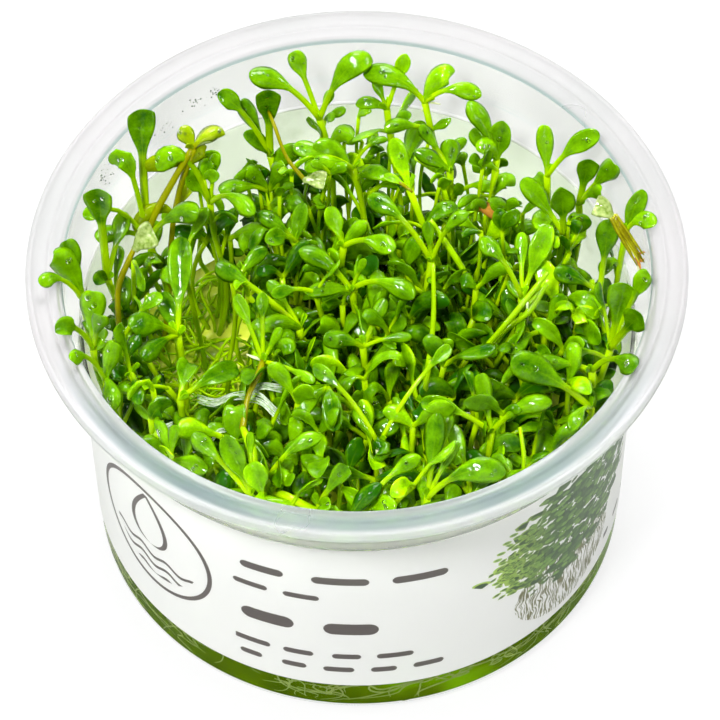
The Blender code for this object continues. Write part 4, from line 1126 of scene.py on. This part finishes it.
def add_side_leaves(growth, node, tone, rng, share=1.0, fine=True):
    """A pair of leaves that leave a node in opposite directions on long stalks."""
    heading = rng.uniform(0.0, math.tau)
    for flip in (0.0, math.pi):
        spread = heading + flip + rng.uniform(-0.6, 0.6)
        reach = rng.uniform(2.6, 8.0)
        tip = node + np.array((math.cos(spread) * reach, math.sin(spread) * reach, rng.uniform(-0.5, 7.5)))
        if rng.random() > share or math.hypot(tip[0], tip[1]) > SIDE_LEAF_REACH or covers_gap(tip):
            continue
        tip = held_in(tip, LEAF_MARGIN)
        shape = leaf(*tip, rng.uniform(0.2, 2.6), rng.uniform(1.8, 3.9), False, rng.normal(0.0, 50.0))
        add_leaf(growth, node, shape, own_tone(tone, -0.2, 0.25, 0.0, rng), rng, fine)


def add_shoot(growth, foot, crown, tone, rng, fine, lower_share):
    """One low shoot: a stem with pairs of opposite leaves at its top and at a node below it."""
    base = held_in((foot[0], foot[1], GEL_TOP - 1.0), FOOT_MARGIN)
    path = bent_path(base, held_in(crown, CROWN_MARGIN), 1.5, rng)
    add_tube(growth, path, SHOOT_RADII, tone, 6, 9)
    add_side_leaves(growth, crown, tone, rng, 1.0, fine)
    lower = path[int(len(path) * rng.uniform(0.66, 0.84))]
    # The lower pair takes a lower tone: painted shade.
    add_side_leaves(growth, lower, tone - 0.1, rng, lower_share, fine)


def make_low_growth(surface, shaded_surface):
    """The tangle between the gel and the upper leaves: low shoots, deeper ones darkened with painted shade,
    and a few tall ones.
    """
    rng = np.random.default_rng(SEED)
    # Lower tones for the deeper layers are painted shade.
    layers = (
        ("low_growth", LOW_SHOOTS, (-11.0, -2.0), surface, True, 0.3, 0.38),
        ("deep_growth", DEEP_SHOOTS, (-25.0, -10.0), shaded_surface, False, 0.25, 0.38),
        ("tall_growth", TALL_SHOOTS, (-2.0, 2.0), surface, True, 0.5, 0.25),
    )
    pieces = []
    for name, count, heights, look, fine, tone, lower_share in layers:
        growth = Growth()
        for i in range(count):
            radius = GROWTH_RADIUS * math.sqrt((i + 0.5) / count)
            around = i * GOLDEN_ANGLE + rng.uniform(-0.1, 0.1)
            x, y = radius * math.cos(around), radius * math.sin(around)
            crown = np.array((x, y, canopy(x, y) + rng.uniform(*heights)))
            if covers_gap(crown) and crown[2] > GAP_GROWTH_TOP:
                continue
            foot = np.array((x, y)) * 0.95 + rng.normal(0.0, 2.5, 2)
            add_shoot(growth, foot, crown, tone + rng.uniform(-0.35, 0.4), rng, fine, lower_share)
        pieces.append(growth.make(name, look))
    for piece in pieces:
        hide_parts("undergrowth")


def make_runners(surface):
    """Thin runners that creep and loop over the gel, most of them in the gap."""
    rng = np.random.default_rng(SEED + 2)
    runners = Growth()
    t = np.linspace(0.0, 1.0, 26)
    for number in range(RUNNERS):
        spread = 9.0 if number % 3 else 24.0
        centre = np.array(RUNNER_HEART) if number % 3 else np.zeros(2)
        start = centre + rng.normal(0.0, spread, 2) * np.array((0.8, 1.2))
        start *= min(1.0, RUNNER_START_REACH / np.linalg.norm(start))
        heading = rng.uniform(0.0, math.tau)
        turn = heading + rng.uniform(-3.0, 3.0) * t + 0.8 * np.sin(t * rng.uniform(4.0, 10.0))
        step = rng.uniform(0.3, 0.8)
        x = start[0] + np.cumsum(np.cos(turn)) * step
        y = start[1] + np.cumsum(np.sin(turn)) * step
        shrink = np.minimum(1.0, RUNNER_REACH / np.hypot(x, y))
        z = GEL_TOP + 0.3 + rng.uniform(0.5, 12.0) * np.sin(math.pi * t) * rng.random()
        add_tube(runners, np.stack([x * shrink, y * shrink, z], axis=1), (0.26, 0.2, 0.12),
                 rng.uniform(0.4, 1.5), 6, 20, rng.uniform(0.0, 0.5))
    made = runners.make("runners", surface)
    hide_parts("undergrowth")


def make_roots(surface):
    """Pale roots that wander down between the gel and the wall."""
    rng = np.random.default_rng(SEED + 1)
    roots = Growth()
    t = np.linspace(0.0, 1.0, 30)
    for _ in range(ROOTS):
        turn = rng.uniform(0.0, math.tau) + rng.uniform(-0.4, 0.4) * t
        turn += 0.03 * np.sin(t * rng.uniform(6.0, 16.0))
        low, high = rng.uniform(1.2, 6.0), rng.uniform(4.0, 15.5)
        height = high + (low - high) * t + rng.uniform(0.3, 1.2) * np.sin(t * rng.uniform(4.0, 12.0))
        height = np.clip(height, 1.0, ROOT_TOP)
        wall_foot = 0.35 * np.clip(FOOT_ROUND - height, 0.0, 1.4)
        radius = body_radius(np.maximum(height, BODY_FOOT)) - WET_DEPTH - wall_foot
        path = np.stack([radius * np.sin(turn), -radius * np.cos(turn), height], axis=1)
        add_tube(roots, path, (0.1, 0.16, 0.14, 0.06), 0.5, 5, 20)
    made = roots.make("roots", surface)


# Old, dead and wet bits, each laid on the growth that carries it

def smooth_path(points, steps=24):
    """A smooth curve through a few points."""
    points = np.array(points, float)
    ends = np.concatenate([[2 * points[0] - points[1]], points, [2 * points[-1] - points[-2]]])
    path = []
    for k in range(len(points) - 1):
        a, b, c, d = ends[k:k + 4]
        for t in np.linspace(0.0, 1.0, steps, endpoint=False):
            path.append(0.5 * (2 * b + (c - a) * t + (2 * a - 5 * b + 4 * c - d) * t * t
                               + (3 * b - a - 3 * c + d) * t ** 3))
    return np.array(path + [points[-1]])


def make_tubes(name, runs, surface, along=0.1):
    """Stems or roots in one piece, each a path of points, its radii and its tone."""
    growth = Growth()
    for points, radii, tone in runs:
        add_tube(growth, smooth_path(points), radii, tone, 8, 5 * len(points), along)
    made = growth.make(name, surface)


def make_stump(surface):
    """A yellow-brown stump at the right: a bundle of fibres with a ragged end."""
    rng = np.random.default_rng(SEED + 3)
    growth = Growth()
    top, end = np.array(STUMP_TOP), np.array(STUMP_END)
    for number in range(STUMP_FIBRES):
        turn = number * GOLDEN_ANGLE
        side = np.array((math.cos(turn), math.sin(turn), 0.4 * math.cos(turn)))
        side *= 0.85 * math.sqrt(number / STUMP_FIBRES)
        last = end + 1.3 * side + (end - top) * rng.uniform(-0.04, 0.16)
        middle = (top + end) / 2.0 + 0.9 * side
        add_tube(growth, smooth_path([top + 0.6 * side, middle, last]), (0.36, 0.38, 0.26, 0.1),
                 rng.uniform(-0.1, 1.2), 6, 12, rng.uniform(0.0, 1.0))
    made = growth.make("old_stump", surface)


def make_strips(surface):
    """White strips of dead film in the gap, each of fine ridges side by side."""
    growth = Growth()
    for points, width in STRIPS:
        path = smooth_path(points)
        for ridge in np.linspace(-0.5, 0.5, 7):
            waves = 0.15 * np.cos(ridge * 9.0 + path[:, 0])
            spread = np.stack([np.zeros(len(path)), np.full(len(path), ridge * width), waves], axis=1)
            add_tube(growth, path + spread, (0.04, 0.1, 0.13, 0.1, 0.04), 0.5, 6, 16)
    made = growth.make("film_strips", surface)


def make_dead_leaves(surface):
    """Dead leaves gone pale and clear, each on the stem that carried it."""
    rng = np.random.default_rng(SEED + 4)
    growth = Growth()
    for start, shape in DEAD_LEAVES:
        add_leaf(growth, np.array(start, float), shape, 0.5, rng)
    made = growth.make("dead_leaves", surface)


def add_drop(growth, at, side, normal, half, rng):
    """One drop of water on a leaf, a low clear dome."""
    size = rng.uniform(0.12, 0.34) * half
    ahead = np.cross(side, normal)
    centre = at + side * rng.uniform(-0.5, 0.5) * half + ahead * rng.uniform(-0.7, 0.7) * half
    wide, deep = rng.uniform(0.75, 1.0), rng.uniform(0.3, 0.5)
    turn = np.arange(DROP_SIDES) * math.tau / DROP_SIDES
    spread = side * (wide * np.cos(turn))[:, None] + ahead * np.sin(turn)[:, None]
    rings = []
    for level in DROP_LEVELS:
        reach = size * math.sqrt(1.0 - level * level)
        rings.append(centre + normal * (size * deep * level + 0.04) + spread * reach)
    growth.add(np.array(rings), 0.5, 0.5, 0.5)


def make_drops(spots, surface):
    """Drops of water on the upper leaves, from none to three on each that is broad enough."""
    rng = np.random.default_rng(SEED + 6)
    growth = Growth()
    for at, side, normal, half in spots:
        for _ in range(int(rng.integers(0, 4)) if half > 1.0 else 0):
            add_drop(growth, at, side, normal, half, rng)
    made = growth.make("drops", surface)


def make_back_stems(surface):
    """Thin upright stems in front of the far wall, each with one or two small leaves at the top."""
    rng = np.random.default_rng(SEED + 8)
    growth = Growth()
    for _ in range(BACK_STEMS):
        radius, turn = rng.uniform(22.0, 37.5), math.radians(rng.uniform(18.0, 165.0))
        crown = np.array((radius * math.cos(turn), radius * math.sin(turn), rng.uniform(42.0, 52.5)))
        base = np.array((crown[0] * 0.92, crown[1] * 0.88, GEL_TOP - 1.0))
        path = bent_path(base, crown, 1.2, rng)
        tone = rng.uniform(0.0, 0.75)
        if covers_gap(path[len(path) // 3]) or covers_gap(path[2 * len(path) // 3]):
            continue
        add_tube(growth, path, (0.4, 0.34, 0.28, 0.32), tone, 7, 12)
        for _ in range(int(rng.integers(1, 3))):
            tip = crown + np.array((rng.uniform(-3.5, 3.5), rng.uniform(-2.5, 1.5), rng.uniform(1.0, 4.0)))
            tip = held_in(tip, BACK_LEAF_MARGIN)
            shape = leaf(*tip, rng.uniform(0.2, 1.2), rng.uniform(1.3, 2.8), False, rng.normal(0.0, 40.0))
            add_leaf(growth, crown, shape, tone, rng)
    made = growth.make("back_stems", surface)
    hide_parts("undergrowth")


def make_specks(surface):
    """Small dark specks dried on the inside of the collar."""
    rng = np.random.default_rng(SEED + 5)
    growth = Growth()
    for middle, height, spread, tall, count in SPECKS:
        for _ in range(count):
            turn = math.radians(middle + rng.normal(0.0, spread))
            z = float(np.clip(height + rng.normal(0.0, tall), LEDGE_TOP + 0.8, CUP_HEIGHT - 2.2))
            radius = MOUTH_RADIUS - 0.02
            centre = np.array((radius * math.sin(turn), -radius * math.cos(turn), z))
            half = rng.uniform(0.05, 0.16)
            path = np.stack([centre + np.array((0.0, 0.0, half * k)) for k in (-1.0, 0.0, 1.0)])
            add_tube(growth, path, (0.3 * half, half, 0.3 * half), 0.3, 5, 5, 0.6)
    made = growth.make("specks", surface)


# Studio

def make_floor(surface):
    """A wide pale floor under the cup."""
    bpy.ops.mesh.primitive_plane_add(size=4.0)
    floor = bpy.context.object
    floor.name = "floor"
    floor.data.materials.append(surface)


def add_light(name, place, size, power):
    """A soft round light that looks at the cup."""
    lamp = bpy.data.lights.new(name, "AREA")
    lamp.shape = "DISK"
    lamp.size = size
    lamp.energy = power
    item = bpy.data.objects.new(name, lamp)
    item.location = place
    item.rotation_euler = (Vector(LIGHT_AIM) - Vector(place)).to_track_quat("-Z", "Y").to_euler()
    bpy.context.scene.collection.objects.link(item)


def make_studio():
    """The floor, lit a little from below so that it stays even, soft lights and a pale surround."""
    pale = drifting_material("pale_floor", 3.0, 2.0, (0.10, 0.10, 0.10), (0.12, 0.12, 0.12),
                             Roughness=0.9, Emission_Color=(1.0, 1.0, 1.0), Emission_Strength=0.8)
    make_floor(pale)
    for light in LIGHTS:
        add_light(*light)
    world = bpy.data.worlds.new("surround")
    world.use_nodes = True
    surround = world.node_tree.nodes["Background"]
    surround.inputs["Color"].default_value = (1.0, 1.0, 1.0, 1.0)
    surround.inputs["Strength"].default_value = WORLD_STRENGTH
    bpy.context.scene.world = world
    bpy.context.scene.view_settings.view_transform = "Standard"


def make_camera():
    """The camera at the view that the outlines give."""
    lens = bpy.data.cameras.new("camera")
    lens.sensor_width = SENSOR
    lens.lens = CAMERA_SCALE / IMAGE_SIZE * SENSOR
    lens.clip_end = 20.0
    camera = bpy.data.objects.new("camera", lens)
    back = Vector((0.0, -math.cos(CAMERA_ELEVATION), math.sin(CAMERA_ELEVATION)))
    place = Matrix.Translation((CAMERA_TARGET + back * CAMERA_DISTANCE) * MM)
    turn = back.to_track_quat("Z", "Y").to_matrix().to_4x4()
    camera.matrix_world = place @ turn @ Matrix.Rotation(CAMERA_ROLL, 4, "Z")
    bpy.context.scene.collection.objects.link(camera)
    bpy.context.scene.camera = camera


make_camera()
make_studio()
wall = clear_plastic("clear_wall", (0.955, 0.965, 0.95), (0.955, 0.965, 0.95), 1.0, 1.0, 1.05)
# The collar's greyer back is painted shade, and its paler, less clear front is painted light.
collar = clear_plastic("clear_collar", (0.99, 1.0, 0.95), (0.83, 0.83, 0.82), 0.88, 0.79, 1.07)
make_cup(wall, collar, milky_plastic())
make_label(label_material())
make_gel(gel_material(), gel_side_material())
make_roots(drifting_material("pale_root", 300.0, 2.0, (0.13, 0.24, 0.01), (0.34, 0.42, 0.09), Roughness=0.45))
fresh = leaf_material("wet_leaf")
aged = leaf_material("aged_stem")
drop_spots = make_plantlets(fresh, aged)
make_low_growth(fresh, leaf_material("shaded_deep_leaf"))
make_runners(fresh)
make_tubes("old_stems", OLD_STEMS, leaf_material("old_straw"))
make_tubes("leaning_stems", LEANING_STEMS, aged)
make_tubes("rusty_bits", RUSTY_BITS, leaf_material("rusty_husk"))
make_tubes("bright_stems", BRIGHT_STEMS, fresh, 0.2)
make_tubes("root_stubs", ROOT_STUBS, leaf_material("root_stub"))
make_stump(leaf_material("old_fibre"))
make_strips(clear_film("white_film", (0.42, 0.62, 0.28), (0.90, 0.96, 0.84), 0.5))
make_dead_leaves(clear_film("dead_leaf", (0.20, 0.32, 0.03), (0.55, 0.66, 0.25), 0.5))
water = drifting_material("water", 900.0, 1.0, (0.96, 0.99, 0.94), (1.0, 1.0, 1.0),
                          Transmission_Weight=1.0, IOR=1.33, Roughness=0.02)
make_drops(drop_spots, water)
make_back_stems(fresh)
make_specks(leaf_material("dark_speck"))
